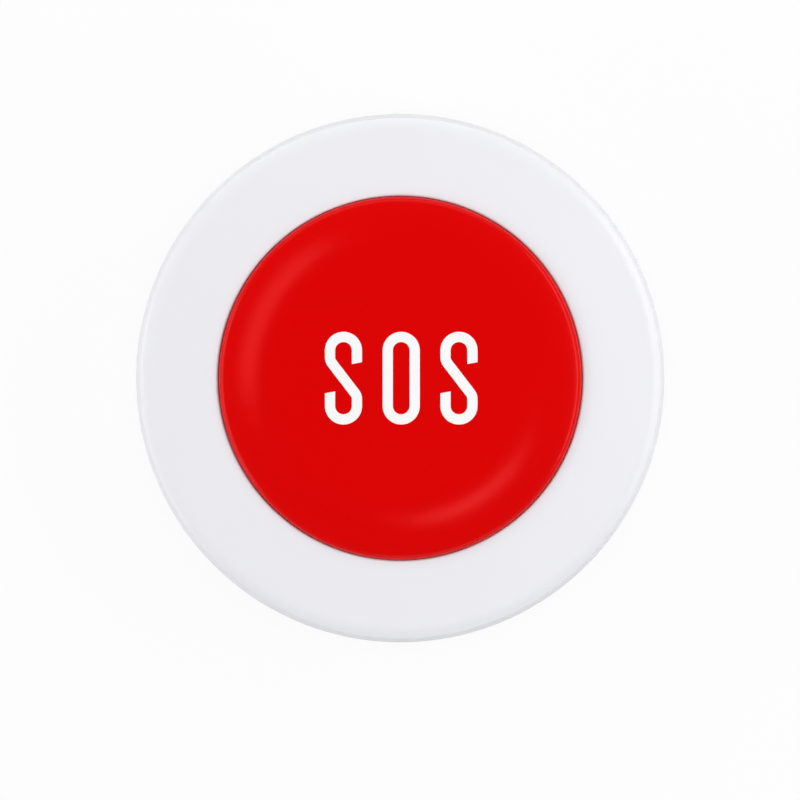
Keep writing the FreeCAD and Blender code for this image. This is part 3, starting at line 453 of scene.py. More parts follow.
clearSelection()
bpy.ops.mesh.primitive_circle_add(vertices=floorSettings["sides"], radius=floorSettings["radius"],
                                  fill_type="NGON", location=(0, 0, 0))
floor = bpy.context.object
floor.name = "paleFloor"
floorPaint, floorTree, floorShader = newFinish("paleFloorPaint", {
    "Base Color": floorSettings["colour"], "Roughness": floorSettings["roughness"],
    "Specular IOR Level": floorSettings["specular"]})
floorWhite = addNode(floorTree, "ShaderNodeEmission", Color=floorSettings["white"])
floorPath = addNode(floorTree, "ShaderNodeLightPath")
floorStraight = addMath(floorTree, "MULTIPLY", floorPath.outputs["Is Camera Ray"], floorSettings["whiteShare"])
floorMirrored = mirroredRays(floorTree, floorPath)
floorMirrored = addMath(floorTree, "MULTIPLY", floorMirrored, floorSettings["mirroredShare"])
floorSeen = addMath(floorTree, "MAXIMUM", floorStraight, floorMirrored)
feedAll(floorTree, floorTree.nodes["Material Output"],
        Surface=mixShaders(floorTree, floorSeen, floorShader.outputs[0], floorWhite.outputs[0]))
floor.data.materials.append(floorPaint)
print("studio ready")


# Shared effects, as node groups

def newGroup(name, inputs, outputs):
    group = bpy.data.node_groups.new(name, "ShaderNodeTree")
    for label, start in inputs.items():
        kind = "NodeSocketVector" if isinstance(start, tuple) else "NodeSocketFloat"
        group.interface.new_socket(label, in_out="INPUT", socket_type=kind).default_value = start
    for label in outputs:
        group.interface.new_socket(label, in_out="OUTPUT", socket_type="NodeSocketFloat")
    return group, group.nodes.new("NodeGroupInput").outputs, group.nodes.new("NodeGroupOutput")


def addNoise(tree, place, scale, detail, rough):
    noise = addNode(tree, "ShaderNodeTexNoise", Vector=place, Scale=scale, Detail=detail, Roughness=rough)
    return noise.outputs["Fac"]


def weigh(tree, first, share, second):
    # a share of the first value with the rest of the second
    rest = addMath(tree, "MULTIPLY", second, 1 - share)
    return addMath(tree, "ADD", addMath(tree, "MULTIPLY", first, share), rest)


# moulded surface: fine spark-eroded grain over a slow swell, and a sheen that drifts a little
surfaceGroup, surfaceIn, surfaceOut = newGroup(
    "mouldedSurface", {"Grain Scale": 4000, "Swell Scale": 60, "Sheen": 0.4, "Sheen Drift": 0.06},
    ("Height", "Roughness", "Drift"))
surfacePlace = addNode(surfaceGroup, "ShaderNodeTexCoord").outputs["Object"]
grain = addNoise(surfaceGroup, surfacePlace, surfaceIn["Grain Scale"], 3, 0.6)
swell = addNoise(surfaceGroup, surfacePlace, surfaceIn["Swell Scale"], 2, 0.5)
drift = addMath(surfaceGroup, "SUBTRACT", swell, 0.5)
drift = addMath(surfaceGroup, "MULTIPLY", drift, surfaceIn["Sheen Drift"])
feedAll(surfaceGroup, surfaceOut, Height=weigh(surfaceGroup, grain, 0.7, swell), Drift=swell,
        Roughness=addMath(surfaceGroup, "ADD", surfaceIn["Sheen"], drift))

# plated metal: fine drawn lines over a slow stain
metalGroup, metalIn, metalOut = newGroup(
    "platedMetal", {"Stretch": (1, 1, 1), "Line Scale": 3000, "Stain Scale": 400, "Shine": 0.25, "Wear": 0.25},
    ("Tone", "Roughness", "Height"))
metalPlace = addNode(metalGroup, "ShaderNodeTexCoord").outputs["Object"]
metalStretch = metalGroup.nodes.new("ShaderNodeVectorMath")
metalStretch.operation = "MULTIPLY"
metalGroup.links.new(metalPlace, metalStretch.inputs[0])
metalGroup.links.new(metalIn["Stretch"], metalStretch.inputs[1])
lines = addNoise(metalGroup, metalStretch.outputs[0], metalIn["Line Scale"], 4, 0.65)
stain = addNoise(metalGroup, metalPlace, metalIn["Stain Scale"], 3, 0.55)
metalTone = weigh(metalGroup, lines, 0.45, stain)
metalWear = addMath(metalGroup, "MULTIPLY", metalTone, metalIn["Wear"])
feedAll(metalGroup, metalOut, Tone=metalTone, Height=lines,
        Roughness=addMath(metalGroup, "ADD", metalWear, metalIn["Shine"]))


# Finishes

def addGroup(tree, group, **values):
    step = tree.nodes.new("ShaderNodeGroup")
    step.node_tree = group
    return feedAll(tree, step, **values).outputs


def mixColours(tree, share, first, second):
    mix = tree.nodes.new("ShaderNodeMix")
    mix.data_type = "RGBA"
    return feedAll(tree, mix, Factor=share, A=first, B=second).outputs["Result"]


def addBump(tree, shader, height, depth, strength):
    bump = addNode(tree, "ShaderNodeBump", Distance=depth, Strength=strength, Height=height)
    tree.links.new(bump.outputs["Normal"], shader.inputs["Normal"])


def screenColour(red, green, blue):
    # the number that renders as this 0 to 255 colour
    def straight(level):
        level = level / 255
        return level / 12.92 if level <= 0.04045 else ((level + 0.055) / 1.055) ** 2.4
    return straight(red), straight(green), straight(blue)


def mouldedPlastic(name, pale, deep, sheen, grainScale, grainDepth, fixed=None):
    # a moulded plastic between two near colours, with its grain and its drifting sheen
    material, tree, shader = newFinish(name, fixed)
    surface = addGroup(tree, surfaceGroup, Grain_Scale=grainScale, Sheen=sheen)
    colour = mixColours(tree, surface["Drift"], pale, deep)
    feedAll(tree, shader, Base_Color=colour, Roughness=surface["Roughness"])
    addBump(tree, shader, surface["Height"], grainDepth, 0.6)
    return material


def platedMetal(name, pale, deep, stretch, lineScale, shine, wear, depth, fixed=None):
    material, tree, shader = newFinish(name, {"Metallic": 1.0, **(fixed or {})})
    plate = addGroup(tree, metalGroup, Stretch=stretch, Line_Scale=lineScale, Shine=shine, Wear=wear)
    colour = mixColours(tree, plate["Tone"], pale, deep)
    feedAll(tree, shader, Base_Color=colour, Roughness=plate["Roughness"])
    addBump(tree, shader, plate["Height"], depth, 0.5)
    return material


def addPlace(tree, turn=0.0):
    # the piece's own place, turned in the plane of the board
    place = addNode(tree, "ShaderNodeTexCoord").outputs["Object"]
    return addNode(tree, "ShaderNodeMapping", Vector=place, Rotation=(0, 0, turn)).outputs[0]


def speckled(name, pale, deep, roughness, scale, depth, fixed=None):
    # a matt mass of two near colours, mottled and faintly rough
    material, tree, shader = newFinish(name, fixed)
    speck = addNoise(tree, addPlace(tree), scale, 3, 0.5)
    spread = addMath(tree, "MULTIPLY", speck, 0.12)
    feedAll(tree, shader, Base_Color=mixColours(tree, speck, pale, deep),
            Roughness=addMath(tree, "ADD", spread, roughness - 0.06))
    addBump(tree, shader, speck, depth, 0.6)
    return material


whitePlastic = mouldedPlastic(
    "whiteSatinPlastic", screenColour(232, 232, 236), screenColour(229, 229, 233), 0.38, 3500, 0.000006)
redPlastic = mouldedPlastic(
    "redGlossPlastic", screenColour(216, 0, 0), screenColour(213, 0, 0), 0.17, 1500, 0.0000008,
    {"Specular IOR Level": 0.4, "Specular Tint": (1.0, 0.16, 0.16)})
whiteInk = mouldedPlastic(
    "whitePadInk", screenColour(243, 243, 243), screenColour(240, 240, 240), 0.45, 6000, 0.000003)
blackPlastic = mouldedPlastic(
    "blackMouldedPlastic", (0.028, 0.028, 0.03), (0.022, 0.022, 0.023), 0.5, 5000, 0.000006)
whiteInnerPlastic = mouldedPlastic(
    "whiteSatinInside", screenColour(230, 231, 233), screenColour(224, 225, 228), 0.5, 2600, 0.000008)

zincPlate = platedMetal(
    "zincPlate", (0.66, 0.68, 0.72), (0.52, 0.54, 0.55), (1, 1, 0.25), 5000, 0.2, 0.22, 0.000003)
nickelPlate = platedMetal(
    "nickelPlate", (0.74, 0.72, 0.69), (0.62, 0.60, 0.57), (0.05, 1, 1), 9000, 0.14, 0.2, 0.000001)
springWire = platedMetal(
    "springWire", (0.50, 0.50, 0.51), (0.36, 0.36, 0.37), (1, 1, 6), 2500, 0.24, 0.25, 0.000003)
tinPlate = platedMetal(
    "tinPlate", (0.72, 0.71, 0.68), (0.58, 0.57, 0.54), (1, 0.2, 1), 3500, 0.3, 0.25, 0.000002)
copperEnamel = platedMetal(
    "copperEnamel", (0.86, 0.46, 0.26), (0.68, 0.30, 0.15), (1, 1, 4), 2500, 0.24, 0.2, 0.000002,
    {"Coat Weight": 0.6, "Coat Roughness": 0.1, "Coat Tint": (1.0, 0.8, 0.55)})

chipMass = speckled("chipMass", (0.030, 0.030, 0.032), (0.016, 0.016, 0.017), 0.62, 9000, 0.000004)
ceramicMass = speckled("ceramicMass", (0.48, 0.33, 0.19), (0.36, 0.24, 0.13), 0.5, 4500, 0.000003)
resistorMass = speckled("resistorMass", (0.020, 0.020, 0.024), (0.010, 0.010, 0.013), 0.3, 6000, 0.000001)
tapeFilm = speckled("tapeFilm", (0.74, 0.73, 0.69), (0.68, 0.67, 0.62), 0.32, 1800, 0.000003)
lampEpoxy = speckled("lampEpoxy", (0.86, 0.84, 0.74), (0.78, 0.75, 0.62), 0.24, 1200, 0.000002,
                     {"Transmission Weight": 0.55, "IOR": 1.5})

# the darker colour, listed as wall, goes to the bottom of each pit and the paler cell colour to the rims:
# painted shade in the foam's pits
foamSettings = {
    "wall": (0.56, 0.56, 0.53), "cell": (0.80, 0.80, 0.78), "scale": 5200, "roughness": 0.7,
    "cellRoughness": 0.2, "depth": 0.00008, "strength": 0.9,
}

foamTape, foamTree, foamShader = newFinish("foamTape")
foamCells = addNode(foamTree, "ShaderNodeTexVoronoi", Vector=addPlace(foamTree), Scale=foamSettings["scale"])
foamPitDepthAndShade = foamCells.outputs["Distance"]
# the pit bottoms, where the bump is lowest, take the darker colour: painted shade
foamColourWithPitShade = mixColours(foamTree, foamPitDepthAndShade, foamSettings["wall"], foamSettings["cell"])
foamSheen = addMath(foamTree, "MULTIPLY", foamPitDepthAndShade, foamSettings["cellRoughness"])
feedAll(foamTree, foamShader, Base_Color=foamColourWithPitShade,
        Roughness=addMath(foamTree, "ADD", foamSheen, foamSettings["roughness"]))
addBump(foamTree, foamShader, foamPitDepthAndShade, foamSettings["depth"], foamSettings["strength"])

# board: green mask over raised tracks that run across in some fields and along in others, plated
# through holes, and a sawn tan edge; scales are in cells a metre
maskSettings = {
    "green": (0.012, 0.105, 0.045), "trackGreen": (0.03, 0.20, 0.085), "plated": (0.62, 0.60, 0.52),
    "edge": (0.50, 0.42, 0.22), "fieldScale": 150, "trackScale": 1000, "trackLong": 4.3, "trackPitch": 0.75,
    "gapWide": 0.11, "gapSoft": 0.15, "holeScale": 260, "holeRadius": 0.07, "roughness": 0.3,
    "edgeRoughness": 0.45, "depth": 0.00004, "strength": 0.8,
}

solderMask, maskTree, maskShader = newFinish("solderMask", {"Coat Weight": 0.25, "Coat Roughness": 0.2})
maskPlace = addPlace(maskTree)
maskFields = addNode(maskTree, "ShaderNodeTexVoronoi", Vector=maskPlace, Scale=maskSettings["fieldScale"])
maskFields.distance = "CHEBYCHEV"
maskSplit = addNode(maskTree, "ShaderNodeSeparateColor", Color=maskFields.outputs["Color"])
maskChoice = addMath(maskTree, "GREATER_THAN", maskSplit.outputs[0], 0.5)
tracks = [
    addNode(maskTree, "ShaderNodeTexBrick", Vector=addPlace(maskTree, turn), Scale=maskSettings["trackScale"],
            Brick_Width=maskSettings["trackLong"], Row_Height=maskSettings["trackPitch"],
            Mortar_Size=maskSettings["gapWide"], Mortar_Smooth=maskSettings["gapSoft"]).outputs["Fac"]
    for turn in (0, math.pi / 2)
]
trackMask = addNode(maskTree, "ShaderNodeMix", Factor=maskChoice, A=tracks[0], B=tracks[1]).outputs["Result"]
holeCells = addNode(maskTree, "ShaderNodeTexVoronoi", Vector=maskPlace, Scale=maskSettings["holeScale"])
holeMask = addMath(maskTree, "LESS_THAN", holeCells.outputs["Distance"], maskSettings["holeRadius"])
maskFacing = addNode(maskTree, "ShaderNodeTexCoord").outputs["Normal"]
maskUp = addNode(maskTree, "ShaderNodeSeparateXYZ", Vector=maskFacing).outputs["Z"]
edgeMask = addMath(maskTree, "LESS_THAN", addMath(maskTree, "ABSOLUTE", maskUp), 0.5)
maskColour = mixColours(maskTree, trackMask, maskSettings["green"], maskSettings["trackGreen"])
maskColour = mixColours(maskTree, holeMask, maskColour, maskSettings["plated"])
maskColour = mixColours(maskTree, edgeMask, maskColour, maskSettings["edge"])
maskDull = addMath(maskTree, "MULTIPLY", edgeMask, maskSettings["edgeRoughness"])
feedAll(maskTree, maskShader, Base_Color=maskColour,
        Roughness=addMath(maskTree, "ADD", maskDull, maskSettings["roughness"]))
addBump(maskTree, maskShader, trackMask, maskSettings["depth"], maskSettings["strength"])
print("finishes ready")


# Front cover: face, shoulder, side wall, well, deck and guide tube in one moulding

coverSizes = {
    "foot": 1.2, "caseRadius": 30.0, "edgeRadius": 29.47, "edgeHeight": 15.57, "edgeRound": 0.07,
    "shoulderStart": 28.05, "shoulderRadius": 2.5, "shoulderTilt": 26, "faceHeight": 16.0,
    "openingRadius": 20.6, "openingRound": 0.3, "deckTop": 12.2, "deckHeight": 11.0,
    "rootRound": 0.3, "guideOuter": 4.65, "guideBore": 3.45, "guideTop": 14.5, "guideRound": 0.15,
    "wellOuter": 21.85, "wellRound": 0.2,
    "faceUnderside": 14.2, "wallInner": 27.45, "ledgeRadius": 27.8, "ledgeHeight": 4.3,
    "nestRadius": 28.4, "segments": 256,
}


def hollowCorner(radius, height, size, side):
    # from a wall down onto a floor that runs outwards (1) or inwards (-1)
    return [(radius, height + size), (radius + side * size * 0.3, height + size * 0.3),
            (radius + side * size, height)]


def coverSection(sizes):
    corner, low, wall = sizes["edgeRound"], sizes["foot"], sizes["caseRadius"]
    stations = arcStations(wall - corner, low + corner, corner, -90, 0, 3)
    lean = (sizes["edgeRadius"] - wall) / (sizes["edgeHeight"] - low)
    top = sizes["edgeHeight"] - corner
    stations.append((wall + lean * (top - low), top))
    tilt = 90 - sizes["shoulderTilt"]
    stations += arcStations(sizes["edgeRadius"] - corner * 1.02, sizes["edgeHeight"] - corner * 0.92,
                            corner, 15, tilt, 3)
    stations += arcStations(sizes["shoulderStart"], sizes["faceHeight"] - sizes["shoulderRadius"],
                            sizes["shoulderRadius"], tilt, 90, 8)
    inner, rounding = sizes["openingRadius"], sizes["openingRound"]
    stations += arcStations(inner + rounding, sizes["faceHeight"] - rounding, rounding, 90, 180, 8)
    guide, bore, deck, under = sizes["guideOuter"], sizes["guideBore"], sizes["deckTop"], sizes["deckHeight"]
    stations += hollowCorner(inner, deck, sizes["rootRound"], -1)
    stations += reversed(hollowCorner(guide, deck, sizes["rootRound"], 1))
    top, soft = sizes["guideTop"], sizes["guideRound"]
    stations += [(guide, top - soft), (guide - soft, top), (bore + soft, top), (bore, top - soft),
                 (bore, under + soft), (bore + soft, under)]
    well, soft = sizes["wellOuter"], sizes["wellRound"]
    stations += [(well - soft, under), (well, under + soft), (well, sizes["faceUnderside"])]
    stations += [(sizes["wallInner"], sizes["faceUnderside"]), (sizes["ledgeRadius"], sizes["ledgeHeight"]),
                 (sizes["nestRadius"], sizes["ledgeHeight"]), (sizes["nestRadius"], low), stations[0]]
    return stations


bossSizes = {
    "circle": 24.35, "radius": 2.6, "foot": 6.05, "pilot": 1.02, "pilotEnd": 12.1, "bite": 15.1,
    "soft": 0.15, "direction": 30, "count": 3, "segments": 32,
}
coverRibSizes = {"inner": 21.25, "outer": 28.45, "low": 11.4, "high": 15.1, "wall": 1.0, "soft": 0.12,
                 "direction": 0, "count": 6}
seatPinSizes = {
    "circle": 14.55, "radius": 1.25, "height": 1.1, "soft": 0.2, "bite": 0.6, "direction": 60, "count": 3,
    "segments": 24,
}
hookSlotSizes = {"inner": 16.25, "outer": 18.85, "low": 10.9, "high": 12.3, "halfAngle": 8.5, "count": 3}
lampWindowSizes = {"radius": 1.6, "across": 7.5, "along": 5.0, "low": 10.9, "high": 12.3, "segments": 32}


def makeBosses(sizes):
    pilot, radius, soft, foot = sizes["pilot"], sizes["radius"], sizes["soft"], sizes["foot"]
    end, bite = sizes["pilotEnd"], sizes["bite"]
    stations = [(pole, end), (pilot - soft, end), (pilot, end - soft), (pilot, foot + soft),
                (pilot + soft, foot), (radius - soft, foot), (radius, foot + soft), (radius, bite),
                (pole, bite)]
    boss = turnPiece("boss", stations, sizes["segments"], capEnds=True)
    movedTo(boss, *around(sizes["circle"], sizes["direction"]))
    return roundTheAxis(boss, sizes["count"])


def makeRibs(name, sizes):
    # straight ribs that run outwards from the axis
    inner, outer, low, high = sizes["inner"], sizes["outer"], sizes["low"], sizes["high"]
    rib = makeBlock(name, (outer - inner, sizes["wall"], high - low),
                    ((outer + inner) / 2, 0, (high + low) / 2), sizes["soft"])
    rib.rotation_euler[2] = math.radians(sizes["direction"])
    return roundTheAxis(settle(rib), sizes["count"])


def makeSeatPins(sizes, base, sign):
    # round pins that the return springs sit on; sign is 1 for upwards and -1 for downwards
    radius, soft, tall = sizes["radius"], sizes["soft"], sizes["height"]
    stations = [(pole, base - sign * sizes["bite"]), (radius, base - sign * sizes["bite"]),
                (radius, base + sign * (tall - soft)), (radius - soft, base + sign * tall),
                (pole, base + sign * tall)]
    pin = turnPiece("seatPin", stations, sizes["segments"], capEnds=True)
    movedTo(pin, *around(sizes["circle"], sizes["direction"]))
    return roundTheAxis(pin, sizes["count"])


def makeDeckCuts(slot, window):
    cuts = makeSector("hookSlot", slot["inner"], slot["outer"], slot["low"], slot["high"],
                      -slot["halfAngle"], 2 * slot["halfAngle"])
    cuts = roundTheAxis(cuts, slot["count"])
    bore = turnPiece("lampBore", [(pole, window["low"]), (window["radius"], window["low"]),
                                  (window["radius"], window["high"]), (pole, window["high"])],
                     window["segments"], capEnds=True)
    return joinPieces([cuts, movedTo(bore, window["across"], window["along"])])


frontCover = turnPiece("frontCover", coverSection(coverSizes), coverSizes["segments"])
coverFittings = joinPieces([makeBosses(bossSizes), makeRibs("coverRib", coverRibSizes),
                            makeSeatPins(seatPinSizes, coverSizes["deckTop"], 1)])
carve(frontCover, coverFittings, "UNION")
carve(frontCover, makeDeckCuts(hookSlotSizes, lampWindowSizes), "DIFFERENCE")
finishPiece(frontCover, "frontCover", [whitePlastic], "housing", ["front_cover"])


# Red cap: level middle, crown, rounded rim, skirt and the post on the switch

capSizes = {
    "postFoot": 12.6, "postRadius": 3.4, "postRound": 0.2, "underside": 15.6, "rootRound": 0.3,
    "skirtInner": 19.15, "skirtFoot": 13.4, "skirtRadius": 20.55, "skirtRound": 0.2, "footRound": 0.1,
    "capRadius": 20.56, "rimRound": 0.85, "sideTop": 15.9, "crownTop": 17.6, "crownRadius": 25.0,
    "crownFlat": 13.41, "rimTilt": 74.75, "inkRoom": 0.02, "levelRings": (9.0, 4.5, 0.05), "segments": 256,
}


def capSection(sizes):
    post, postFoot, postRound = sizes["postRadius"], sizes["postFoot"], sizes["postRound"]
    under, root, foot, soft = sizes["underside"], sizes["rootRound"], sizes["skirtFoot"], sizes["footRound"]
    inner, outer, skirtRound = sizes["skirtInner"], sizes["skirtRadius"], sizes["skirtRound"]
    top = sizes["crownTop"] - sizes["inkRoom"]
    stations = [(sizes["levelRings"][-1], postFoot), (post - postRound, postFoot), (post, postFoot + postRound),
                (post, under - postRound), (post + postRound, under), (inner - root, under),
                (inner, under - root), (inner, foot + soft), (inner + soft, foot),
                (outer - skirtRound, foot), (outer, foot + skirtRound)]
    stations += arcStations(sizes["capRadius"] - sizes["rimRound"], sizes["sideTop"] - sizes["inkRoom"],
                            sizes["rimRound"], 0, sizes["rimTilt"], 10)
    stations += arcStations(sizes["crownFlat"], top - sizes["crownRadius"], sizes["crownRadius"],
                            sizes["rimTilt"], 90, 12)[1:]
    return stations + [(ring, top) for ring in sizes["levelRings"]]


hookSizes = {
    "inner": 17.25, "outer": 18.55, "barbReach": 1.1, "barbLow": 9.7, "barbHigh": 10.9, "leadIn": 0.5,
    "top": 16.1, "halfAngle": 7, "count": 3,
}
capRibSizes = {"inner": 5.65, "outer": 19.85, "low": 14.6, "high": 16.1, "wall": 1.0, "soft": 0.12,
               "direction": 30, "count": 6}


def makeHooks(sizes):
    barbLow, barbHigh = sizes["barbLow"] * mm, sizes["barbHigh"] * mm
    edge = sizes["outer"] * mm

    def drawHook(sector):
        # pulls the leg up from the barb's block, then the barb outwards, and slopes its underside
        pickEdges(sector, lambda middle: middle.z > barbHigh - near)
        bpy.ops.mesh.extrude_edges_move(
            TRANSFORM_OT_translate={"value": (0, 0, (sizes["top"] - sizes["barbHigh"]) * mm)})
        pickEdges(sector, lambda middle: middle.x > edge - near and middle.z < barbHigh)
        bpy.ops.mesh.extrude_edges_move(TRANSFORM_OT_translate={"value": (sizes["barbReach"] * mm, 0, 0)})
        pick(sector, "verts", lambda place: place.x > edge + near and place.z < barbLow + near)
        bpy.ops.transform.translate(value=(0, 0, sizes["leadIn"] * mm))

    hook = makeSector("hook", sizes["inner"], sizes["outer"], sizes["barbLow"], sizes["barbHigh"],
                      -sizes["halfAngle"], 2 * sizes["halfAngle"], shape=drawHook)
    return roundTheAxis(hook, sizes["count"])


pushCap = turnPiece("pushCap", capSection(capSizes), capSizes["segments"], capEnds=True)
capFittings = joinPieces([makeHooks(hookSizes), makeRibs("capRib", capRibSizes),
                          makeSeatPins(seatPinSizes, capSizes["underside"], -1)])
carve(pushCap, capFittings, "UNION")
finishPiece(pushCap, "pushCap", [redPlastic], "button", ["push_button"])


# Printed call letters on the level middle of the cap

letterSizes = {
    "stroke": 1.155, "half": 1.522, "arcHeight": 3.142, "bendRound": 1.136, "bendStart": 2.37,
    "bendAngle": 38.7, "terminal": 1.44, "footLonger": 0.1, "slant": 0.11, "pitch": 6.53, "shift": 0.1,
    "low": 17.565, "high": 17.6, "arcSteps": 28, "bendSteps": 8,
}


def strokeStart(name, across, low, high, width):
    # an upright bar that the rest of the letter is pulled from
    clearSelection()
    bpy.ops.mesh.primitive_plane_add(size=mm, location=(across * mm, (low + high) / 2 * mm, 0))
    bar = bpy.context.object
    bar.name = name
    bar.scale = (width, high - low, 1)
    settle(bar)
    bpy.ops.object.mode_set(mode="EDIT")
    return bar


def sweepEdge(angle, centre, steps):
    # counterclockwise seen from the front
    bpy.ops.mesh.spin(steps=steps, angle=math.radians(angle), center=(centre[0] * mm, centre[1] * mm, 0),
                      axis=(0, 0, -1))


def pullEdge(across, along):
    bpy.ops.mesh.extrude_edges_move(TRANSFORM_OT_translate={"value": (across * mm, along * mm, 0)})


def thicken(letter, low, high):
    # raises a flat letter to its full height
    closeUp(letter)
    bpy.ops.object.mode_set(mode="EDIT")
    bpy.ops.mesh.select_all(action="SELECT")
    bpy.ops.transform.translate(value=(0, 0, low * mm))
    bpy.ops.mesh.extrude_region_move(TRANSFORM_OT_translate={"value": (0, 0, (high - low) * mm)})
    bpy.ops.object.mode_set(mode="OBJECT")
    return closeUp(letter)


def slantEnd(letter, along, across, rise):
    # lifts the right corner of a stroke's end and lowers the left one
    for side in (1, -1):
        pick(letter, "verts", lambda place: abs(place.y - along) < near and 0 < side * (place.x - across) < mm)
        bpy.ops.transform.translate(value=(0, side * rise, 0))


def makeRoundLetter(sizes):
    top, steps = sizes["arcHeight"], sizes["arcSteps"]
    letter = strokeStart("letterRound", sizes["half"], -top, top, sizes["stroke"])
    pickEdges(letter, lambda middle: middle.y > top * mm - near)
    sweepEdge(180, (0, top), steps)
    pullEdge(0, -2 * top)
    sweepEdge(180, (0, -top), steps)
    bpy.ops.object.mode_set(mode="OBJECT")
    return letter


def makeCurvedLetter(sizes):
    half, top, bend, start = sizes["half"], sizes["arcHeight"], sizes["bendRound"], sizes["bendStart"]
    terminal, foot, slant = sizes["terminal"], sizes["terminal"] + sizes["footLonger"], sizes["slant"]
    steps, bendSteps = sizes["arcSteps"], sizes["bendSteps"]
    angle = math.radians(sizes["bendAngle"])
    letter = strokeStart("letterCurved", half, top - terminal, top, sizes["stroke"])
    pickEdges(letter, lambda middle: middle.y > top * mm - near)
    sweepEdge(180, (0, top), steps)
    pullEdge(0, start - top)
    sweepEdge(sizes["bendAngle"], (bend - half, start), bendSteps)
    pullEdge(2 * (half - bend * (1 - math.cos(angle))), -2 * (start - bend * math.sin(angle)))
    sweepEdge(-sizes["bendAngle"], (half - bend, -start), bendSteps)
    pullEdge(0, start - top)
    sweepEdge(-180, (0, -top), steps)
    pullEdge(0, foot)
    slantEnd(letter, (top - terminal) * mm, half * mm, slant * mm)
    slantEnd(letter, (foot - top) * mm, -half * mm, slant * mm)
    bpy.ops.object.mode_set(mode="OBJECT")
    return letter


letters = []
for number, maker in enumerate((makeCurvedLetter, makeRoundLetter, makeCurvedLetter)):
    letter = maker(letterSizes)
    thicken(letter, letterSizes["low"], letterSizes["high"])
    letter.location[0] = ((number - 1) * letterSizes["pitch"] + letterSizes["shift"]) * mm
    letters.append(settle(letter))
finishPiece(joinPieces(letters), "callLetters", [whiteInk], "button")


# Return springs: round wire, a closed turn at each end

springSizes = {
    "circle": 14.55, "direction": 60, "count": 3, "coil": 1.88, "wire": 0.22, "low": 12.42, "high": 15.36,
    "endRise": 0.46, "activeTurns": 2, "sides": 12, "stepsPerTurn": 40, "seat": 12.2,
    "kept": 0.763,  # height left when the cap is down
}


def makeSpring(sizes, number):
    active = sizes["high"] - sizes["low"] - 2 * sizes["endRise"]
    spring = windWire("spring", sizes["coil"], sizes["wire"], sizes["low"],
                      [(1, sizes["endRise"]), (sizes["activeTurns"], active), (1, sizes["endRise"])],
                      sizes["sides"], sizes["stepsPerTurn"])
    fillEnds(spring)
    direction = sizes["direction"] + 360 / sizes["count"] * number
    spring.rotation_euler[2] = math.radians(direction)
    return movedTo(spring, *around(sizes["circle"], direction))


for number in range(springSizes["count"]):
    spring = makeSpring(springSizes, number)
    finishPiece(spring, f"springCoil{number + 1}", [springWire], "housing",
                [f"return_spring_{number + 1}"])
    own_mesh(spring)


# Antenna: enamelled wire, bent up from its hole in the board into an open coil

antennaSizes = {
    "along": 24.25, "coil": 1.5, "wire": 0.25, "board": 8.4, "low": 9.3, "turns": 4, "rise": 3.8,
    "bend": 0.5, "bendSteps": 8, "sides": 12, "stepsPerTurn": 32,
}


def makeAntenna(sizes):
    radius, low, bend = sizes["coil"], sizes["low"], sizes["bend"]
    coil = windWire("antennaCoil", radius, sizes["wire"], low, [(sizes["turns"], sizes["rise"])],
                    sizes["sides"], sizes["stepsPerTurn"])
    clearSelection()
    bpy.ops.mesh.primitive_circle_add(vertices=sizes["sides"], radius=sizes["wire"] * mm,
                                      location=(radius * mm, 0, low * mm), rotation=(math.pi / 2, 0, 0))
    foot = settle(bpy.context.object)
    bpy.ops.object.mode_set(mode="EDIT")
    bpy.ops.mesh.select_all(action="SELECT")
    bpy.ops.mesh.spin(steps=sizes["bendSteps"], angle=math.pi / 2, center=(radius * mm, 0, (low - bend) * mm),
                      axis=(-1, 0, 0))
    down = low - bend - sizes["board"]
    bpy.ops.mesh.extrude_edges_move(TRANSFORM_OT_translate={"value": (0, 0, -down * mm)})
    bpy.ops.object.mode_set(mode="OBJECT")
    return movedTo(fillEnds(joinPieces([coil, foot])), 0, sizes["along"])


finishPiece(makeAntenna(antennaSizes), "antennaCoil", [copperEnamel], "housing", ["antenna"])


# Screws: pan head with a cross recess, cut thread and a blunt tip

caseScrewSizes = {
    "circle": 24.35, "headFace": 2.8, "headSeat": 4.3, "core": 0.8, "crest": 0.995, "tip": 11.3,
    "threadFrom": 6.3, "pitch": 0.62, "turns": 7,
}
boardScrewSizes = {
    "circle": 17.35, "headFace": 9.7, "headSeat": 8.4, "core": 0.76, "crest": 0.945, "tip": 4.4,
    "threadFrom": 7.2, "pitch": 0.56, "turns": 4,
}
screwShape = {
    "direction": 30, "count": 3, "headRadius": 1.9, "headRound": 0.35, "seatRound": 0.05, "neck": 0.12,
    "pointLong": 0.4, "pointShare": 0.55, "ridge": 0.2, "recessWide": 0.5, "recessLong": 2.0,
    "recessDeep": 0.8, "recessOver": 0.2, "segments": 32, "stepsPerTurn": 20,
}


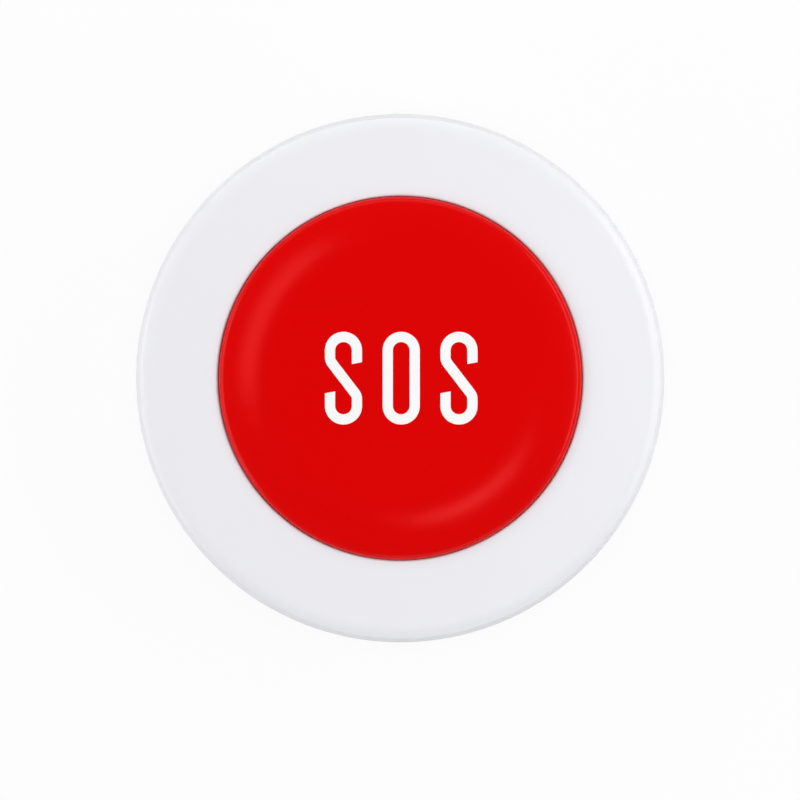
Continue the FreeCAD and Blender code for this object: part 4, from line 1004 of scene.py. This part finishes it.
def makeScrews(name, sizes, shape):
    # upDown is 1 where the screw points up and -1 where it points down
    upDown = 1 if sizes["tip"] > sizes["headFace"] else -1
    face, seat, tip, core = sizes["headFace"], sizes["headSeat"], sizes["tip"], sizes["core"]
    corner, head, soft, neck = shape["headRound"], shape["headRadius"], shape["seatRound"], shape["neck"]
    stations = [(pole, face)]
    for across, height in arcStations(head - corner, 0, corner, 90, 0, 5):
        stations.append((across, face + upDown * (corner - height)))
    stations += [(head, seat - upDown * soft), (head - soft, seat), (core + neck, seat),
                 (core, seat + upDown * neck), (core, tip - upDown * shape["pointLong"]),
                 (core * shape["pointShare"], tip), (pole, tip)]
    screw = turnPiece(name, stations, shape["segments"], capEnds=True)
    rise = upDown * sizes["pitch"] * sizes["turns"]
    ridge = windWire("thread", sizes["crest"] - shape["ridge"], shape["ridge"], sizes["threadFrom"],
                     [(sizes["turns"], rise)], 3, shape["stepsPerTurn"], math.pi / 2)
    carve(screw, fillEnds(ridge), "UNION")
    deep, over = shape["recessDeep"], shape["recessOver"]
    middle = face + upDown * (deep - over) / 2
    for size in ((shape["recessLong"], shape["recessWide"]), (shape["recessWide"], shape["recessLong"])):
        carve(screw, makeBlock("recess", (*size, deep + over), (0, 0, middle)), "DIFFERENCE")
    movedTo(closeUp(screw, 0.0000001), *around(sizes["circle"], shape["direction"]))
    return roundTheAxis(screw, shape["count"])


finishPiece(makeScrews("caseScrew", caseScrewSizes, screwShape), "caseScrews", [zincPlate], "housing",
            ["case_screws"])
finishPiece(makeScrews("boardScrew", boardScrewSizes, screwShape), "boardScrews", [zincPlate], "housing",
            ["board_screws"])


# Coin cell: pressed can, rolled crimp and raised inner face, with a plain plus sign on the can

cellSizes = {
    "radius": 10.0, "low": 3.1, "bottomRound": 0.3, "crimpStart": 5.45, "shoulder": 6.1, "rollOuter": 9.3,
    "rollFlat": 9.1, "rollEdge": 8.85, "rollInner": 8.75, "grooveLow": 5.95, "grooveSoft": 0.05,
    "faceRadius": 8.4, "faceTop": 6.3, "faceRound": 0.2, "faceFoot": 0.08, "segments": 128,
    "plusLong": 3.4, "plusWide": 0.6, "plusDeep": 0.12, "plusAlong": -5.2,
}


def makeCell(sizes):
    wall, low, corner, soft = sizes["radius"], sizes["low"], sizes["bottomRound"], sizes["grooveSoft"]
    stations = [(pole, low)] + arcStations(wall - corner, low + corner, corner, -90, 0, 5)
    stations += arcStations(sizes["rollOuter"], sizes["crimpStart"], wall - sizes["rollOuter"], 0, 75, 8)
    shoulder, inner, groove = sizes["shoulder"], sizes["rollInner"], sizes["grooveLow"]
    face, top, rounding = sizes["faceRadius"], sizes["faceTop"], sizes["faceRound"]
    stations += [(sizes["rollFlat"], shoulder), (sizes["rollEdge"], shoulder), (inner, shoulder - soft),
                 (inner - soft, groove), (face + soft, groove), (face, groove + sizes["faceFoot"])]
    stations += arcStations(face - rounding, top - rounding, rounding, 0, 90, 5) + [(pole, top)]
    cell = turnPiece("coinCell", stations, sizes["segments"], capEnds=True)
    for size in ((sizes["plusLong"], sizes["plusWide"]), (sizes["plusWide"], sizes["plusLong"])):
        bar = makeBlock("plusBar", (*size, sizes["plusDeep"] * 2), (0, sizes["plusAlong"], low))
        carve(cell, bar, "DIFFERENCE")
    return closeUp(cell, 0.0000001)


finishPiece(makeCell(cellSizes), "coinCell", [nickelPlate], "housing", ["coin_cell"])


# Chip parts: fired bodies with tinned ends

chipSizes = {"long": 1.6, "wide": 0.8, "endLong": 0.3, "slack": 0.03, "soft": 0.05, "board": 8.4}
capacitorPlaces = {"height": 0.8, "places": ((-4.9, 0.8), (-4.9, -0.8), (-9.0, 5.6), (-5.8, 5.6))}
resistorPlaces = {"height": 0.44, "places": ((-3.2, -6.2), (0, -6.2), (7.5, 7.4), (7.5, 2.6))}


def makeChips(name, sizes, row, bodyPaint, node):
    long, wide, endLong, slack = sizes["long"], sizes["wide"], sizes["endLong"], sizes["slack"]
    height = row["height"]
    middle = sizes["board"] + height / 2
    body = makeBlock("chip", (long - 2 * slack, wide - 2 * slack, height - 2 * slack), (0, 0, middle))
    for side in (1, -1):
        place = (side * (long - endLong) / 2, 0, middle)
        end = makeBlock("chipEnd", (endLong, wide, height), place, sizes["soft"])
        closeUp(carve(body, end, "UNION"), 0.0000005)
    chips = [copyTo(body, across, along) for across, along in row["places"]]
    bpy.data.objects.remove(body)
    chips = finishPiece(joinPieces(chips), name, [bodyPaint], "housing", [node])

    def onEnd(middle):
        # further from its own chip's middle than the bare body reaches
        own = min(row["places"], key=lambda place: math.dist((middle.x / mm, middle.y / mm), place))
        return abs(middle.x / mm - own[0]) > long / 2 - endLong

    paintFaces(chips, tinPlate, onEnd)


makeChips("chipCapacitors", chipSizes, capacitorPlaces, ceramicMass, "chip_capacitors")
makeChips("chipResistors", chipSizes, resistorPlaces, resistorMass, "chip_resistors")


# Foam pads: foam between two films, with rounded corners

padSizes = {
    "long": 26.0, "wide": 10.0, "offset": 14.5, "corner": 1.6, "cornerSteps": 6,
    "foamLow": 0.051, "foamHigh": 0.949,
    # height and outset of each ring up the side
    "rings": ((0.05, 0.0), (0.05, -0.1), (0.28, -0.04), (0.5, -0.02), (0.72, -0.04), (0.95, -0.1), (0.95, 0.0),
              (1.0, 0.0)),
}


def makePad(sizes):
    clearSelection()
    long, wide = sizes["long"], sizes["wide"]
    bpy.ops.mesh.primitive_plane_add(size=mm)
    pad = bpy.context.object
    pad.scale = (long, wide, 1)
    settle(pad)
    bpy.ops.object.mode_set(mode="EDIT")
    bpy.ops.mesh.select_all(action="SELECT")
    bpy.ops.mesh.bevel(offset=sizes["corner"] * mm, segments=sizes["cornerSteps"], affect="VERTICES")
    height, outset = 0.0, 0.0
    for nextHeight, nextOutset in sizes["rings"]:
        bpy.ops.mesh.extrude_region_move(TRANSFORM_OT_translate={"value": (0, 0, (nextHeight - height) * mm)})
        shares = [(size + 2 * nextOutset) / (size + 2 * outset) for size in (long, wide)]
        bpy.ops.transform.resize(value=(*shares, 1), center_override=(0, 0, 0))
        height, outset = nextHeight, nextOutset
    bpy.ops.object.mode_set(mode="OBJECT")
    return closeUp(pad)


pad = makePad(padSizes)
pads = joinPieces([copyTo(pad, 0, padSizes["offset"]), copyTo(pad, 0, -padSizes["offset"])])
bpy.data.objects.remove(pad)
finishPiece(pads, "foamPads", [tapeFilm], "wall_mount", ["adhesive_pads"])
paintFaces(pads, foamTape, lambda middle: padSizes["foamLow"] < middle.z / mm < padSizes["foamHigh"])


# Finishes for the CAD nodes that stay

nodePaint = {
    "rear_cover": whiteInnerPlastic, "wall_plate": whiteInnerPlastic, "switch_body": blackPlastic,
    "battery_holder": blackPlastic, "switch_plunger": blackPlastic, "circuit_board": solderMask,
    "switch_cover": nickelPlate, "switch_leads": tinPlate, "positive_contact": tinPlate,
    "negative_contact": tinPlate, "radio_chip": chipMass, "crystal": nickelPlate, "status_led": lampEpoxy,
    "buffer_capacitor": chipMass,
}
for name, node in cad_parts.items():
    node.data.materials.clear()
    node.data.materials.append(nodePaint.get(name, blackPlastic))
